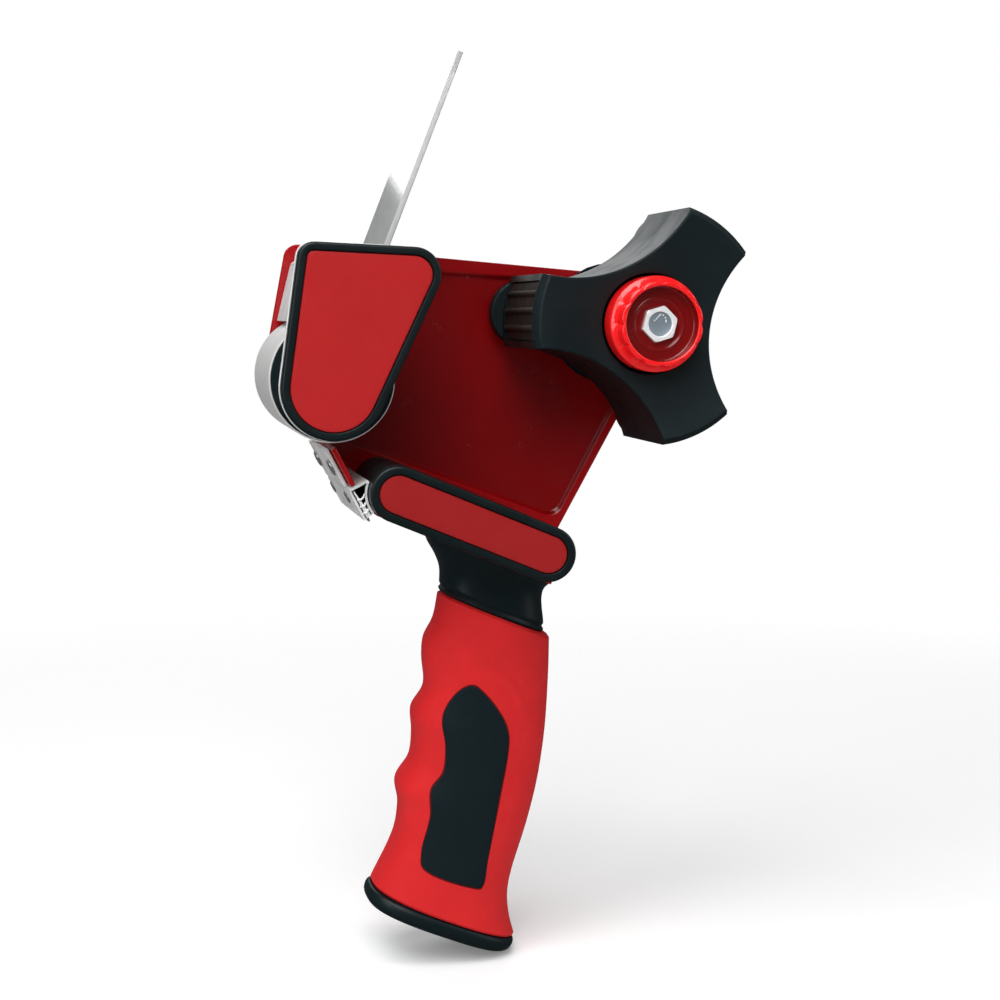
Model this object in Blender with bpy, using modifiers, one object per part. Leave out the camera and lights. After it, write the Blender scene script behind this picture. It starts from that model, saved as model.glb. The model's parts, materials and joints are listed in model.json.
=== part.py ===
"""Hand-held carton tape dispenser: a pistol grip, a one-sided frame, a lobed tape hub, a wetting roller and a cutter.

Sizes are metres and +Z is up. Sections are drawn in X and Z about the hub's axis, and Y runs from the open
side of the gun, where the tape is loaded, to the side plate. The datum empty carries every piece, and its
place puts the world's origin on the bar cover's rim, on the face that the gun lies on.
"""

import math

import bmesh
import bpy
from mathutils import Matrix, Vector

# Driving sizes
TAPE_WIDTH = 0.048
CORE_RADIUS = 0.0379
GAP = 0.0003
CLEAR = 0.001  # how far a cutter passes the face that it cuts
SHEET = 0.0015
ZINC = 0.0011
PLATE_Y = TAPE_WIDTH + 0.003
FRAME_NEAR = -0.0022
EMBOSS_DEPTH = 0.0012

# Hub
HUB_WAIST = 0.0194
HUB_HOLLOW = 0.0419
HUB_WALL = 0.0030
HUB_PHASE = math.radians(53.8)
HUB_LENGTH = TAPE_WIDTH - 0.002
HUB_LEAD = 0.0017
HUB_LEAD_LENGTH = 0.003
HUB_DISH = 0.0042
LUG_RADIUS = 0.011
LUG_REACH = 0.0420
LUG_THICK = 0.0045
HUB_END = HUB_LENGTH + 0.003
WELL_RADIUS = 0.0156
WELL_FLOOR = 0.0120
BOSS_RADIUS = 0.0080
BUSH_RADIUS = 0.0050
PAD_START = 0.0045
PAD_END = HUB_LENGTH - 0.004
PAD_FOOT = 0.0364
PAD_TOP = 0.0374
RIB_TOP = 0.0382
PAD_ANGLE = math.radians(14)
RIB_PITCH = math.radians(8.4)

# Brake knob and axle bolt
KNOB_BASE_Y = 0.0045
KNOB_STEP = 0.0050
KNOB_STEP_END = 0.0062
KNOB_CHAMFER = 0.0008
FLUTE_CUTTER = 0.0022
KNOB_HEX_TURN = math.radians(16)
KNOB_HEIGHT = 0.0132
KNOB_BASE_RADIUS = 0.0148
KNOB_RADIUS = 0.0131
KNOB_RECESS = 0.0115
KNOB_FLUTES = 12
KNOB_FLUTE_DEPTH = 0.0007
BOLT_RADIUS = 0.0030
BOLT_HEAD_FLATS = 0.0100
BOLT_HEAD_HEIGHT = 0.0040
KNOB_FLOOR = 0.0044
BOLT_HEAD_PROUD = 0.0017
BOLT_CROWN = 0.0047
BOLT_CORNER = 0.0062
BOLT_CHAMFER = 0.0008
BOLT_TAIL = 0.0080
WASHER_RADIUS = 0.0060
WASHER_THICK = 0.0010
AXLE_NUT_HEIGHT = 0.0050
TENSION_WASHER_RADIUS = 0.0125
TENSION_WASHER_THICK = 0.0012
TENSION_SPRING_RADIUS = 0.0085
TENSION_WIRE = 0.0006
FRICTION_DISC_RADIUS = 0.020

# Roller
ROLLER = Vector((-0.0999, -0.0164))
ROLLER_RADIUS = 0.0189
SLEEVE_THICK = 0.0022
DISC_RADIUS = 0.0184
DISC_THICK = 0.0010
ROLLER_NEAR = -0.0013
AXLE_RADIUS = 0.0025
ROLLER_BUSH = 0.0042
ROLLER_BUSH_LENGTH = 0.008
ROLLER_EDGE = 0.0006
ROLLER_FAR_GAP = 0.0010
AXLE_HEAD_RADIUS = 0.0042
AXLE_HEAD_THICK = 0.0014
AXLE_TAIL = 0.0050
ROLLER_NUT_FLATS = 0.0080
ROLLER_NUT_HEIGHT = 0.0035

# Tape flap and guide strip
FLAP_PIN = Vector((-0.1045, 0.0175))
FLAP_TIP = Vector((-0.1109, 0.0009))
FLAP_HEEL = Vector((-0.0887, 0.0135))
PIN_RADIUS = 0.0015
CURL_RADIUS = 0.0026
CURL_LENGTH = 0.014
FLAP_SHEET = 0.0008
STRIP_FOOT = Vector((-0.0820, 0.0240))
STRIP_ANGLE = math.radians(68.5)
STRIP_THICK = 0.0017
STRIP_ABOVE = 0.0605
STRIP_BELOW = 0.0105
FLAP_INSET = 0.0010
RIVET_RADIUS = 0.0015

# Bar that carries the handle
BAR_LEFT = Vector((-0.0815, -0.0503))
BAR_RIGHT = Vector((-0.0355, -0.0696))
BAR_RADIUS = 0.00855
SADDLE_RADIUS = 0.0081
SADDLE_DEPTH = TAPE_WIDTH / 2 + 0.009
BASE_START = -0.0026
BASE_END = 0.0560
ALONG = (BAR_RIGHT - BAR_LEFT).normalized()
DOWN = Vector((ALONG.y, -ALONG.x))
RAIL = BAR_LEFT + DOWN * BAR_RADIUS

# Near-side covers
COVER_NEAR = -0.0090
COVER_DEPTH = 0.0050
RIM = 0.0024
BAR_RIM = 0.00255
REST_POINT = RAIL + (BAR_RIGHT - BAR_LEFT) / 2 - DOWN * BAR_RIM / 2
DATUM = Vector((-REST_POINT.x, -COVER_NEAR, -REST_POINT.y))
PANEL_THICK = 0.0011
PANEL_SUNK = 0.0004
COVER_FLOOR = 0.0010

# Cutter
WALL_TOP = Vector((-0.1020, -0.0345))
WALL_ANGLE = math.radians(-62.65)
WALL_START = 0.003
WALL_END = 0.0154
GUIDE_NEAR = 0.003
GUIDE_FAR = TAPE_WIDTH
HOLDER_DEPTH = 0.0098
HOLDER_TURN = math.radians(158)
HOLDER_SWEEP = math.radians(62)
BLADE_THICK = 0.0006
STUD_RADIUS = 0.0012
STUD_DROP = 0.0032
TOOTH_PITCH = 0.0018
TOOTH_HEIGHT = 0.0014

# Handle, measured down from the rail and along it
HANDLE_Y = TAPE_WIDTH / 2 + 0.001
NECK_TOP = 0.0003
GRIP_TOP = 0.0163
GRIP_LENGTH = 0.0955
GRIP_SQUARENESS = 2.5
GRIP_ROWS = 26
CAP_THICK = 0.0055
CAP_SCREW_HEAD = 0.0022
TANG_HALF_WIDTH = 0.0115
TANG_HALF_DEPTH = 0.0075
TANG_SHORT = 0.004
TANG_SHIFT = 0.003
INLAY_DEPTH = 0.0125
CLAMP_RADIUS = 0.0025
CLAMP_PLACES = (0.034, 0.052)
# Share of the grip's length, then the front and the back edge along the rail, and the half depth
GRIP_FRONT = ((0, 30.3), (0.09, 32.0), (0.163, 31.5), (0.225, 33.3), (0.315, 37.4), (0.40, 36.4),
              (0.475, 39.6), (0.555, 41.8), (0.645, 40.5), (0.72, 44.4), (0.82, 46.6), (1, 45.6))
GRIP_BACK = ((0, 68.8), (0.13, 73.7), (0.29, 79.0), (0.45, 83.0), (0.62, 85.5), (0.79, 86.9),
             (0.87, 88.6), (0.94, 92.0), (1, 96.3))
GRIP_DEPTH = ((0, 15.0), (0.3, 15.4), (0.62, 16.6), (0.85, 16.4), (1, 18.0))
NECK = ((0, 18.6, 62.6, 17.0), (0.16, 21.0, 61.3, 15.8), (0.34, 24.6, 61.6, 15.0), (0.53, 27.5, 63.0, 14.6),
        (0.76, 29.2, 65.0, 14.5), (1, 30.2, 66.6, 14.6))
INLAY = ((38.9, 48.2), (42.0, 45.2), (48.0, 43.6), (53.5, 44.0), (60.3, 47.8), (68.0, 50.0), (75.0, 48.6),
         (83.3, 51.8), (95.0, 53.8), (99.6, 57.6), (99.5, 73.0), (97.4, 76.4), (88.5, 74.4), (70.0, 70.6),
         (55.0, 67.5), (48.0, 64.4), (43.0, 58.6), (39.5, 51.9))
MM = 0.001

STEPS = 32
SPRING_STEPS = 9
COLOURS = {
    "red_paint": ((0.30, 0.004, 0.006), 0.25, 0.3),
    "red_plastic": ((0.55, 0.018, 0.022), 0.5, 0.0),
    "black_plastic": ((0.012, 0.014, 0.015), 0.45, 0.0),
    "black_rubber": ((0.018, 0.020, 0.021), 0.75, 0.0),
    "red_rubber": ((0.62, 0.022, 0.026), 0.7, 0.0),
    "zinc": ((0.55, 0.56, 0.55), 0.35, 1.0),
    "steel": ((0.62, 0.63, 0.65), 0.25, 1.0),
    "grey_rubber": ((0.62, 0.61, 0.59), 0.6, 0.0),
    "clear_plastic": ((0.86, 0.88, 0.86), 0.1, 0.0),
    "bronze": ((0.45, 0.30, 0.14), 0.4, 1.0),
}


def clear_scene():
    for thing in list(bpy.data.objects):
        bpy.data.objects.remove(thing, do_unlink=True)


def new_collection(name):
    made = bpy.data.collections.new(name)
    bpy.context.scene.collection.children.link(made)
    return made


clear_scene()
PARTS = new_collection("tape_dispenser")
CUTTERS = new_collection("cutters")
DATUM_EMPTY = bpy.data.objects.new("datum", None)
DATUM_EMPTY.location = DATUM
PARTS.objects.link(DATUM_EMPTY)


def finish_material(name, finish):
    colour, roughness, metallic = COLOURS[finish]
    made = bpy.data.materials.new(name)
    made.use_nodes = True
    shader = made.node_tree.nodes["Principled BSDF"]
    shader.inputs["Base Color"].default_value = (*colour, 1)
    shader.inputs["Roughness"].default_value = roughness
    shader.inputs["Metallic"].default_value = metallic
    return made


def smooth(mesh, angle=35):
    mesh.shade_smooth()
    mesh.set_sharp_from_angle(angle=math.radians(angle))


def add_mesh(name, mesh, place=(0, 0, 0)):
    """A cutter until make_part names its finish."""
    made = bpy.data.objects.new(name, mesh)
    made.location = place
    made.parent = DATUM_EMPTY
    made.hide_render = True
    made.display_type = "WIRE"
    CUTTERS.objects.link(made)
    return made


def make_part(made, finish):
    CUTTERS.objects.unlink(made)
    PARTS.objects.link(made)
    made.hide_render = False
    made.display_type = "TEXTURED"
    made.data.materials.clear()
    made.data.materials.append(finish_material(made.name, finish))
    smooth(made.data)
    return made


def boolean(made, other, operation="DIFFERENCE"):
    step = made.modifiers.new(other.name, "BOOLEAN")
    step.operation = operation
    step.object = other
    step.solver = "EXACT"
    return made


def mesh_from_curve(name, curve):
    """The filled curve as a closed mesh, standing in the X-Z plane."""
    holder = bpy.data.objects.new(name, curve)
    CUTTERS.objects.link(holder)
    graph = bpy.context.evaluated_depsgraph_get()
    mesh = bpy.data.meshes.new_from_object(holder.evaluated_get(graph))
    bpy.data.objects.remove(holder)
    work = bmesh.new()
    work.from_mesh(mesh)
    bmesh.ops.remove_doubles(work, verts=work.verts, dist=1e-6)
    work.to_mesh(mesh)
    work.free()
    mesh.transform(Matrix.Rotation(math.pi / 2, 4, "X"))
    mesh.name = name
    return mesh


def prism(name, outlines, near, far):
    """Outlines of X-Z points, the first one outside and the rest holes, from the near to the far depth."""
    curve = bpy.data.curves.new(name, "CURVE")
    curve.dimensions = "2D"
    curve.fill_mode = "BOTH"
    curve.extrude = (far - near) / 2
    for outline in outlines:
        spline = curve.splines.new("POLY")
        spline.points.add(len(outline) - 1)
        for point, (x, z) in zip(spline.points, outline):
            point.co = (x, z, 0, 1)
        spline.use_cyclic_u = True
    mesh = mesh_from_curve(name, curve)
    mesh.transform(Matrix.Translation((0, (near + far) / 2, 0)))
    return add_mesh(name, mesh)


def turned(name, profile, centre=(0, 0), steps=STEPS):
    """A profile of (radius, depth) points, near end first down its outer side, spun about a line along Y."""
    mesh = bpy.data.meshes.new(name)
    work = bmesh.new()
    corners = [work.verts.new((radius, 0, -depth)) for radius, depth in profile]
    for first, second in zip(corners, corners[1:]):
        work.edges.new((first, second))
    if min(radius for radius, _ in profile) > 0:
        work.edges.new((corners[-1], corners[0]))
    work.to_mesh(mesh)
    work.free()
    made = add_mesh(name, mesh, (centre[0], 0, centre[1]))
    made.rotation_euler = (math.pi / 2, 0, 0)
    screw = made.modifiers.new("turn", "SCREW")
    screw.steps = steps
    screw.render_steps = steps
    screw.use_merge_vertices = True
    screw.merge_threshold = 1e-6
    return made


def rod(name, radius, near, far, centre=(0, 0), steps=24):
    return turned(name, ((0, near), (radius, near), (radius, far), (0, far)), centre, steps)


def tube(name, outer, inner, near, far, centre=(0, 0), steps=STEPS):
    return turned(name, ((inner, near), (outer, near), (outer, far), (inner, far)), centre, steps)


def hull(circles, grow=0.0, pieces=8):
    """Outline round a ring of circles (x, z, radius), anticlockwise, grown or shrunk by an offset."""
    rings = [(Vector((x, z)), radius + grow) for x, z, radius in circles]
    count = len(rings)
    normals = []
    for index in range(count):
        here, radius = rings[index]
        there, next_radius = rings[(index + 1) % count]
        line = there - here
        tilt = (radius - next_radius) / line.length
        ahead = line.normalized()
        side = Vector((ahead.y, -ahead.x))
        normals.append(ahead * tilt + side * math.sqrt(1 - tilt * tilt))
    outline = []
    for index in range(count):
        centre, radius = rings[index]
        start = math.atan2(normals[index - 1].y, normals[index - 1].x)
        sweep = (math.atan2(normals[index].y, normals[index].x) - start) % math.tau
        steps = max(1, round(pieces * sweep / (math.pi / 2)))
        for step in range(steps + 1):
            angle = start + sweep * step / steps
            outline.append(centre + radius * Vector((math.cos(angle), math.sin(angle))))
    return outline


def circle(centre, radius, count=24):
    turns = [math.tau * index / count for index in range(count)]
    return [Vector(centre) + radius * Vector((math.cos(turn), math.sin(turn))) for turn in turns]


def hexagon(flats, centre=(0, 0), turn=0.0):
    reach = flats / math.sqrt(3)
    angles = [turn + math.tau * index / 6 for index in range(6)]
    return [Vector(centre) + reach * Vector((math.cos(angle), math.sin(angle))) for angle in angles]


def slab(start, end, half):
    """Rectangle round a line, anticlockwise."""
    side = (end - start).normalized() * half
    side = Vector((side.y, -side.x))
    return [start + side, end + side, end - side, start - side]


def ribbon(points, half):
    """Outline of a strip of even thickness that follows a line of points."""
    sides = []
    for index, point in enumerate(points):
        before = points[index] - points[index - 1] if index else points[1] - points[0]
        after = points[index + 1] - point if index + 1 < len(points) else before
        first, second = before.normalized(), after.normalized()
        middle = (first + second).normalized()
        sides.append(Vector((middle.y, -middle.x)) * half / middle.dot(first))
    right = [point + side for point, side in zip(points, sides)]
    left = [point - side for point, side in zip(points, sides)]
    return right + left[::-1]


def rail(u, w):
    """Point at u along the rail and w below it."""
    return RAIL + ALONG * u + DOWN * w


def on_axis(made, direction, centre, depth):
    """Turns a piece made along Y so that it points along a direction of the X-Z plane."""
    made.rotation_euler = (0, 0, 0)
    made.rotation_mode = "QUATERNION"
    aim = Vector((direction[0], 0, direction[1]))
    made.rotation_quaternion = aim.to_track_quat("-Z", "Y")
    made.location = (centre[0], depth, centre[1])
    return made


def smooth_through(points, share):
    """Cubic through points of (share, value), with Catmull-Rom slopes."""
    spots = [point[0] for point in points]
    values = [point[1] for point in points]
    last = len(points) - 1
    index = max(i for i in range(last) if share >= spots[i] or i == 0)
    before = max(index - 1, 0)
    after = min(index + 2, last)
    span = spots[index + 1] - spots[index]
    slope_in = (values[index + 1] - values[before]) / (spots[index + 1] - spots[before]) * span
    slope_out = (values[after] - values[index]) / (spots[after] - spots[index]) * span
    t = (share - spots[index]) / span
    blend = t * t * (3 - 2 * t)
    return (values[index] * (1 - blend) + values[index + 1] * blend
            + slope_in * t * (1 - t) ** 2 - slope_out * t * t * (1 - t))


def loft(name, rings):
    """A closed skin over rings of points with the same count, and a flat face on each end."""
    work = bmesh.new()
    rows = [[work.verts.new(point) for point in ring] for ring in rings]
    for upper, lower in zip(rows, rows[1:]):
        for index in range(len(upper)):
            following = (index + 1) % len(upper)
            work.faces.new((upper[index], upper[following], lower[following], lower[index]))
    work.faces.new(rows[0])
    work.faces.new(rows[-1])
    bmesh.ops.recalc_face_normals(work, faces=work.faces)
    mesh = bpy.data.meshes.new(name)
    work.to_mesh(mesh)
    work.free()
    return add_mesh(name, mesh)


def handle_ring(w, front, back, half_depth, squareness=GRIP_SQUARENESS, count=28):
    """Superellipse in a plane parallel to the rail."""
    ring = []
    middle = (front + back) / 2
    reach = (back - front) / 2
    for index in range(count):
        angle = math.tau * index / count
        across = math.copysign(abs(math.cos(angle)) ** (2 / squareness), math.cos(angle))
        aside = math.copysign(abs(math.sin(angle)) ** (2 / squareness), math.sin(angle))
        x, z = rail(middle + reach * across, w)
        ring.append((x, HANDLE_Y + half_depth * aside, z))
    return ring


def grip_section(share, grow=0.0):
    front = smooth_through(GRIP_FRONT, share) * MM - grow
    back = smooth_through(GRIP_BACK, share) * MM + grow
    depth = smooth_through(GRIP_DEPTH, share) * MM + grow
    return handle_ring(GRIP_TOP + GRIP_LENGTH * share, front, back, depth)


# Outlines that several pieces share
COVER_CIRCLES = ((-0.1059, 0.0193, 0.0047), (-0.1004, -0.0187, 0.0155), (-0.0765, 0.0145, 0.0082))
BAR_CIRCLES = ((*BAR_LEFT, BAR_RADIUS), (*BAR_RIGHT, BAR_RADIUS))
PLATE_CIRCLES = ((-0.1043, 0.0209, 0.0045), (-0.1064, -0.00845, 0.0080), (-0.0891, -0.0562, 0.0015),
                 (-0.0277, -0.0777, 0.0050), (0.0007, -0.0010, 0.0175))
EMBOSS_CIRCLES = ((-0.0870, 0.0130, 0.0050), (-0.0860, -0.0330, 0.0060), (-0.0205, -0.0590, 0.0050),
                  (0.0007, -0.0010, 0.0139))
WALL_ALONG = Vector((math.cos(WALL_ANGLE), math.sin(WALL_ANGLE)))
WALL_OUT = Vector((WALL_ALONG.y, -WALL_ALONG.x))
STRIP_ALONG = Vector((math.cos(STRIP_ANGLE), math.sin(STRIP_ANGLE)))
STRIP_LEFT = Vector((-STRIP_ALONG.y, STRIP_ALONG.x))
PLATE_OUT = PLATE_Y + SHEET
EMBOSS_OUT = PLATE_OUT + EMBOSS_DEPTH
COVER_BACK = COVER_NEAR + COVER_DEPTH
HEAD_NEAR = COVER_BACK + GAP
HEAD_FAR = HEAD_NEAR + ZINC
GUIDE_SCREWS = (GUIDE_NEAR + 0.006, GUIDE_FAR - 0.006)
HEAD_HOLLOW_BACK = 0.0024


def wall_point(along, out):
    return WALL_TOP + WALL_ALONG * along + WALL_OUT * out


def build_frame():
    plate = prism("side_frame", [hull(PLATE_CIRCLES)], PLATE_Y, PLATE_OUT)
    boolean(plate, prism("frame_emboss", [hull(EMBOSS_CIRCLES, SHEET)], PLATE_Y + SHEET / 2, EMBOSS_OUT), "UNION")
    boolean(plate, prism("frame_recess", [hull(EMBOSS_CIRCLES)], PLATE_Y - SHEET, PLATE_Y + EMBOSS_DEPTH))
    front = slab(wall_point(WALL_START, -SHEET / 2), wall_point(WALL_END, -SHEET / 2), SHEET / 2)
    boolean(plate, prism("front_wall", [front], FRAME_NEAR, PLATE_Y + SHEET / 3), "UNION")
    base = slab(rail(BASE_START, -SHEET / 2), rail(BASE_END, -SHEET / 2), SHEET / 2)
    boolean(plate, prism("base_wall", [base], FRAME_NEAR, PLATE_Y + SHEET / 3), "UNION")
    holes = (("hub_hole", (0, 0), BOLT_RADIUS), ("roller_hole", ROLLER, AXLE_RADIUS), ("pin_hole", FLAP_PIN, PIN_RADIUS))
    for name, centre, radius in holes:
        boolean(plate, rod(name, radius + GAP, PLATE_Y - SHEET, EMBOSS_OUT + SHEET, centre))
    for number, place in enumerate(CLAMP_PLACES):
        hole = rod(f"clamp_hole_{number}", CLAMP_RADIUS + GAP, -2 * SHEET, 2 * SHEET)
        boolean(plate, on_axis(hole, DOWN, rail(place, -SHEET / 2), HANDLE_Y))
    for number, depth in enumerate(GUIDE_SCREWS):
        hole = rod(f"guide_hole_{number}", PIN_RADIUS + GAP, -2 * SHEET, 2 * SHEET)
        boolean(plate, on_axis(hole, WALL_OUT, wall_point(0.009, -SHEET / 2), depth))
    make_part(plate, "red_paint")


def build_head():
    plate = prism("head_plate", [hull(COVER_CIRCLES, GAP)], HEAD_NEAR, HEAD_FAR)
    for name, centre, radius in (("head_axle_hole", ROLLER, AXLE_RADIUS), ("head_pin_hole", FLAP_PIN, PIN_RADIUS)):
        boolean(plate, rod(name, radius + GAP, HEAD_NEAR - ZINC, HEAD_FAR + ZINC, centre))
    make_part(plate, "zinc")
    build_cover("head_cover", COVER_CIRCLES, RIM, HEAD_HOLLOW_BACK)
    build_cover("bar_cover", BAR_CIRCLES, BAR_RIM, 0)


def build_cover(name, circles, rim, hollow):
    """A black rim with a sunk red panel, and a hollow behind it where pins end."""
    pocket_floor = COVER_NEAR + PANEL_SUNK + PANEL_THICK + GAP
    cover = prism(name + "_rim", [hull(circles)], COVER_NEAR, COVER_BACK)
    boolean(cover, prism(name + "_pocket", [hull(circles, -rim)], COVER_NEAR - PANEL_THICK, pocket_floor))
    if hollow:
        near = COVER_BACK - hollow
        boolean(cover, prism(name + "_hollow", [hull(circles, -rim)], near, COVER_BACK + PANEL_THICK))
    make_part(cover, "black_plastic")
    panel_near = COVER_NEAR + PANEL_SUNK
    panel = prism(name + "_panel", [hull(circles, -rim - GAP)], panel_near, panel_near + PANEL_THICK)
    make_part(panel, "red_plastic")


def build_saddle():
    circles = ((*BAR_LEFT, SADDLE_RADIUS), (*BAR_RIGHT, SADDLE_RADIUS))
    saddle = prism("saddle_block", [hull(circles)], COVER_BACK + GAP, SADDLE_DEPTH)
    below = slab(rail(-0.03, 0.02 - SHEET - GAP), rail(0.09, 0.02 - SHEET - GAP), 0.02)
    boolean(saddle, prism("saddle_floor", [below], COVER_NEAR, SADDLE_DEPTH + SHEET))
    for number, place in enumerate(CLAMP_PLACES):
        shank = rod(f"saddle_hole_{number}", CLAMP_RADIUS + GAP, -0.02, 0.02)
        boolean(saddle, on_axis(shank, DOWN, rail(place, 0), HANDLE_Y))
        sink = rod(f"saddle_sink_{number}", 2 * CLAMP_RADIUS - GAP, -0.02, -0.0085)
        boolean(saddle, on_axis(sink, DOWN, rail(place, 0), HANDLE_Y))
    make_part(saddle, "black_plastic")
    for number, place in enumerate(CLAMP_PLACES, 1):
        head = 2 * CLAMP_RADIUS - 2 * GAP
        shape = ((0, -0.0127), (head, -0.0127), (head, -0.0088), (CLAMP_RADIUS, -0.0088),
                 (CLAMP_RADIUS, 0.0125), (0, 0.0125))
        bolt = turned(f"clamp_bolt_{number}", shape, steps=24)
        on_axis(bolt, DOWN, rail(place, 0), HANDLE_Y)
        socket = prism(f"clamp_socket_{number}", [hexagon(CLAMP_RADIUS * 1.6)], -0.0150, -0.0105)
        boolean(bolt, on_axis(socket, DOWN, rail(place, 0), HANDLE_Y))
        make_part(bolt, "steel")


def grip_middle(share):
    return (smooth_through(GRIP_FRONT, share) + smooth_through(GRIP_BACK, share)) / 2 * MM


def tang_ring(w, grow=0.0):
    """Section of the straight tang inside the grip."""
    share = (w - GRIP_TOP) / GRIP_LENGTH
    middle = grip_middle(0) + (grip_middle(1) - TANG_SHIFT - grip_middle(0)) * share
    half = TANG_HALF_WIDTH + grow
    return handle_ring(w, middle - half, middle + half, TANG_HALF_DEPTH + grow, 2.2)


def build_handle():
    neck_length = GRIP_TOP - GAP - NECK_TOP
    rings = []
    for share, front, back, depth in NECK:
        rings.append(handle_ring(NECK_TOP + neck_length * share, front * MM, back * MM, depth * MM))
    tang_end = GRIP_TOP + GRIP_LENGTH - TANG_SHORT
    core = loft("handle_core", rings + [tang_ring(GRIP_TOP - GAP), tang_ring(tang_end)])
    for number, place in enumerate(CLAMP_PLACES):
        hole = rod(f"core_hole_{number}", CLAMP_RADIUS + GAP, -0.002, 0.013)
        boolean(core, on_axis(hole, DOWN, rail(place, 0), HANDLE_Y))
    make_part(core, "black_plastic")

    shares = [index / GRIP_ROWS for index in range(GRIP_ROWS + 1)]
    sleeve = loft("grip_sleeve", [grip_section(share) for share in shares])
    bore = [tang_ring(w, GAP) for w in (GRIP_TOP - TANG_SHORT, GRIP_TOP + GRIP_LENGTH + TANG_SHORT)]
    boolean(sleeve, loft("tang_bore", bore))
    outline = [rail(u * MM, w * MM) for w, u in INLAY]
    for side, name in ((-1, "grip_inlay_near"), (1, "grip_inlay_far")):
        near, far = sorted((HANDLE_Y + side * INLAY_DEPTH, HANDLE_Y + side * 0.03))
        boolean(sleeve, prism(name + "_pocket", [outline], near, far))
        inlay = loft(name, [grip_section(share, GAP) for share in shares])
        near, far = sorted((HANDLE_Y + side * (INLAY_DEPTH + GAP), HANDLE_Y + side * 0.03))
        boolean(inlay, prism(name + "_cut", [shrink(outline, GAP)], near, far), "INTERSECT")
        make_part(inlay, "black_rubber")
    make_part(sleeve, "red_rubber")


def shrink(outline, amount):
    """The outline moved inwards by an amount at each corner."""
    count = len(outline)
    turned_area = sum(outline[i - 1].x * outline[i].y - outline[i].x * outline[i - 1].y for i in range(count))
    inward = 1 if turned_area > 0 else -1
    moved = []
    for index in range(count):
        before = (outline[index] - outline[index - 1]).normalized()
        after = (outline[(index + 1) % count] - outline[index]).normalized()
        side = Vector((-before.y - after.y, before.x + after.x)).normalized() * inward
        moved.append(outline[index] + side * amount)
    return moved


def build_cap():
    top = GRIP_TOP + GRIP_LENGTH + GAP
    front = smooth_through(GRIP_FRONT, 1) * MM
    back = smooth_through(GRIP_BACK, 1) * MM
    depth = smooth_through(GRIP_DEPTH, 1) * MM
    steps = ((0, 0.0006), (0.35, 0), (0.75, 0.0007), (1, 0.0030))
    rings = [handle_ring(top + CAP_THICK * share, front + inset - 0.0006, back - inset, depth - inset, 2.8)
             for share, inset in steps]
    cap = loft("end_cap", rings)
    middle = grip_middle(1) - TANG_SHIFT
    hole = rod("cap_hole", PIN_RADIUS + GAP, -0.02, 0.02)
    boolean(cap, on_axis(hole, DOWN, rail(middle, top), HANDLE_Y))
    seat = CAP_THICK - CAP_SCREW_HEAD - GAP
    sink = rod("cap_sink", 0.0036, seat, CAP_THICK + 0.01)
    boolean(cap, on_axis(sink, DOWN, rail(middle, top), HANDLE_Y))
    make_part(cap, "black_plastic")
    shape = ((0, -0.0036), (PIN_RADIUS, -0.0036), (PIN_RADIUS, seat + GAP), (0.0032, seat + GAP),
             (0.0032, CAP_THICK - 0.0006), (0.0024, CAP_THICK), (0, CAP_THICK))
    screw = turned("end_cap_screw", shape, steps=20)
    on_axis(screw, DOWN, rail(middle, top), HANDLE_Y)
    make_part(screw, "steel")
    core = bpy.data.objects["handle_core"]
    hole = rod("core_cap_hole", PIN_RADIUS + GAP, -0.008, 0.01)
    boolean(core, on_axis(hole, DOWN, rail(middle, top), HANDLE_Y))


def build_cutter():
    guide = slab(wall_point(WALL_START, GAP + ZINC / 2), wall_point(WALL_END, GAP + ZINC / 2), ZINC / 2)
    plate = prism("guide_plate", [guide], GUIDE_NEAR, GUIDE_FAR)
    for number, depth in enumerate(GUIDE_SCREWS):
        hole = rod(f"guide_plate_hole_{number}", PIN_RADIUS + GAP, -2 * ZINC, 2 * ZINC)
        boolean(plate, on_axis(hole, WALL_OUT, wall_point(0.009, GAP + ZINC / 2), depth))
    make_part(plate, "zinc")
    for number, depth in enumerate(GUIDE_SCREWS, 1):
        head = ZINC + 2 * GAP
        shape = ((0, -0.0040), (PIN_RADIUS, -0.0040), (PIN_RADIUS, head), (0.0028, head), (0.0028, head + 0.0006),
                 (0.0020, head + 0.0012), (0, head + 0.0012))
        screw = turned(f"guide_screw_{number}", shape, steps=20)
        on_axis(screw, WALL_OUT, wall_point(0.009, 0), depth)
        make_part(screw, "steel")

    web = WALL_END + GAP + ZINC / 2
    front_out = GAP + ZINC / 2
    foot = web + HOLDER_DEPTH
    reach = BAR_RADIUS + GAP + ZINC / 2
    turns = [HOLDER_TURN + HOLDER_SWEEP * step / 8 for step in range(9)]
    bow = [BAR_LEFT + reach * Vector((math.cos(turn), math.sin(turn))) for turn in turns]
    outline = ribbon([wall_point(foot, front_out), wall_point(web, front_out), *bow], ZINC / 2)
    holder = prism("blade_holder", [outline], -0.0040, GUIDE_FAR)
    for number, depth in enumerate(GUIDE_SCREWS):
        hole = rod(f"holder_hole_{number}", STUD_RADIUS + GAP, 0, 0.003)
        boolean(holder, on_axis(hole, WALL_OUT, wall_point(web + STUD_DROP, 0), depth))
    make_part(holder, "zinc")
    build_blade(web, foot, front_out - ZINC / 2 - GAP)


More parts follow.
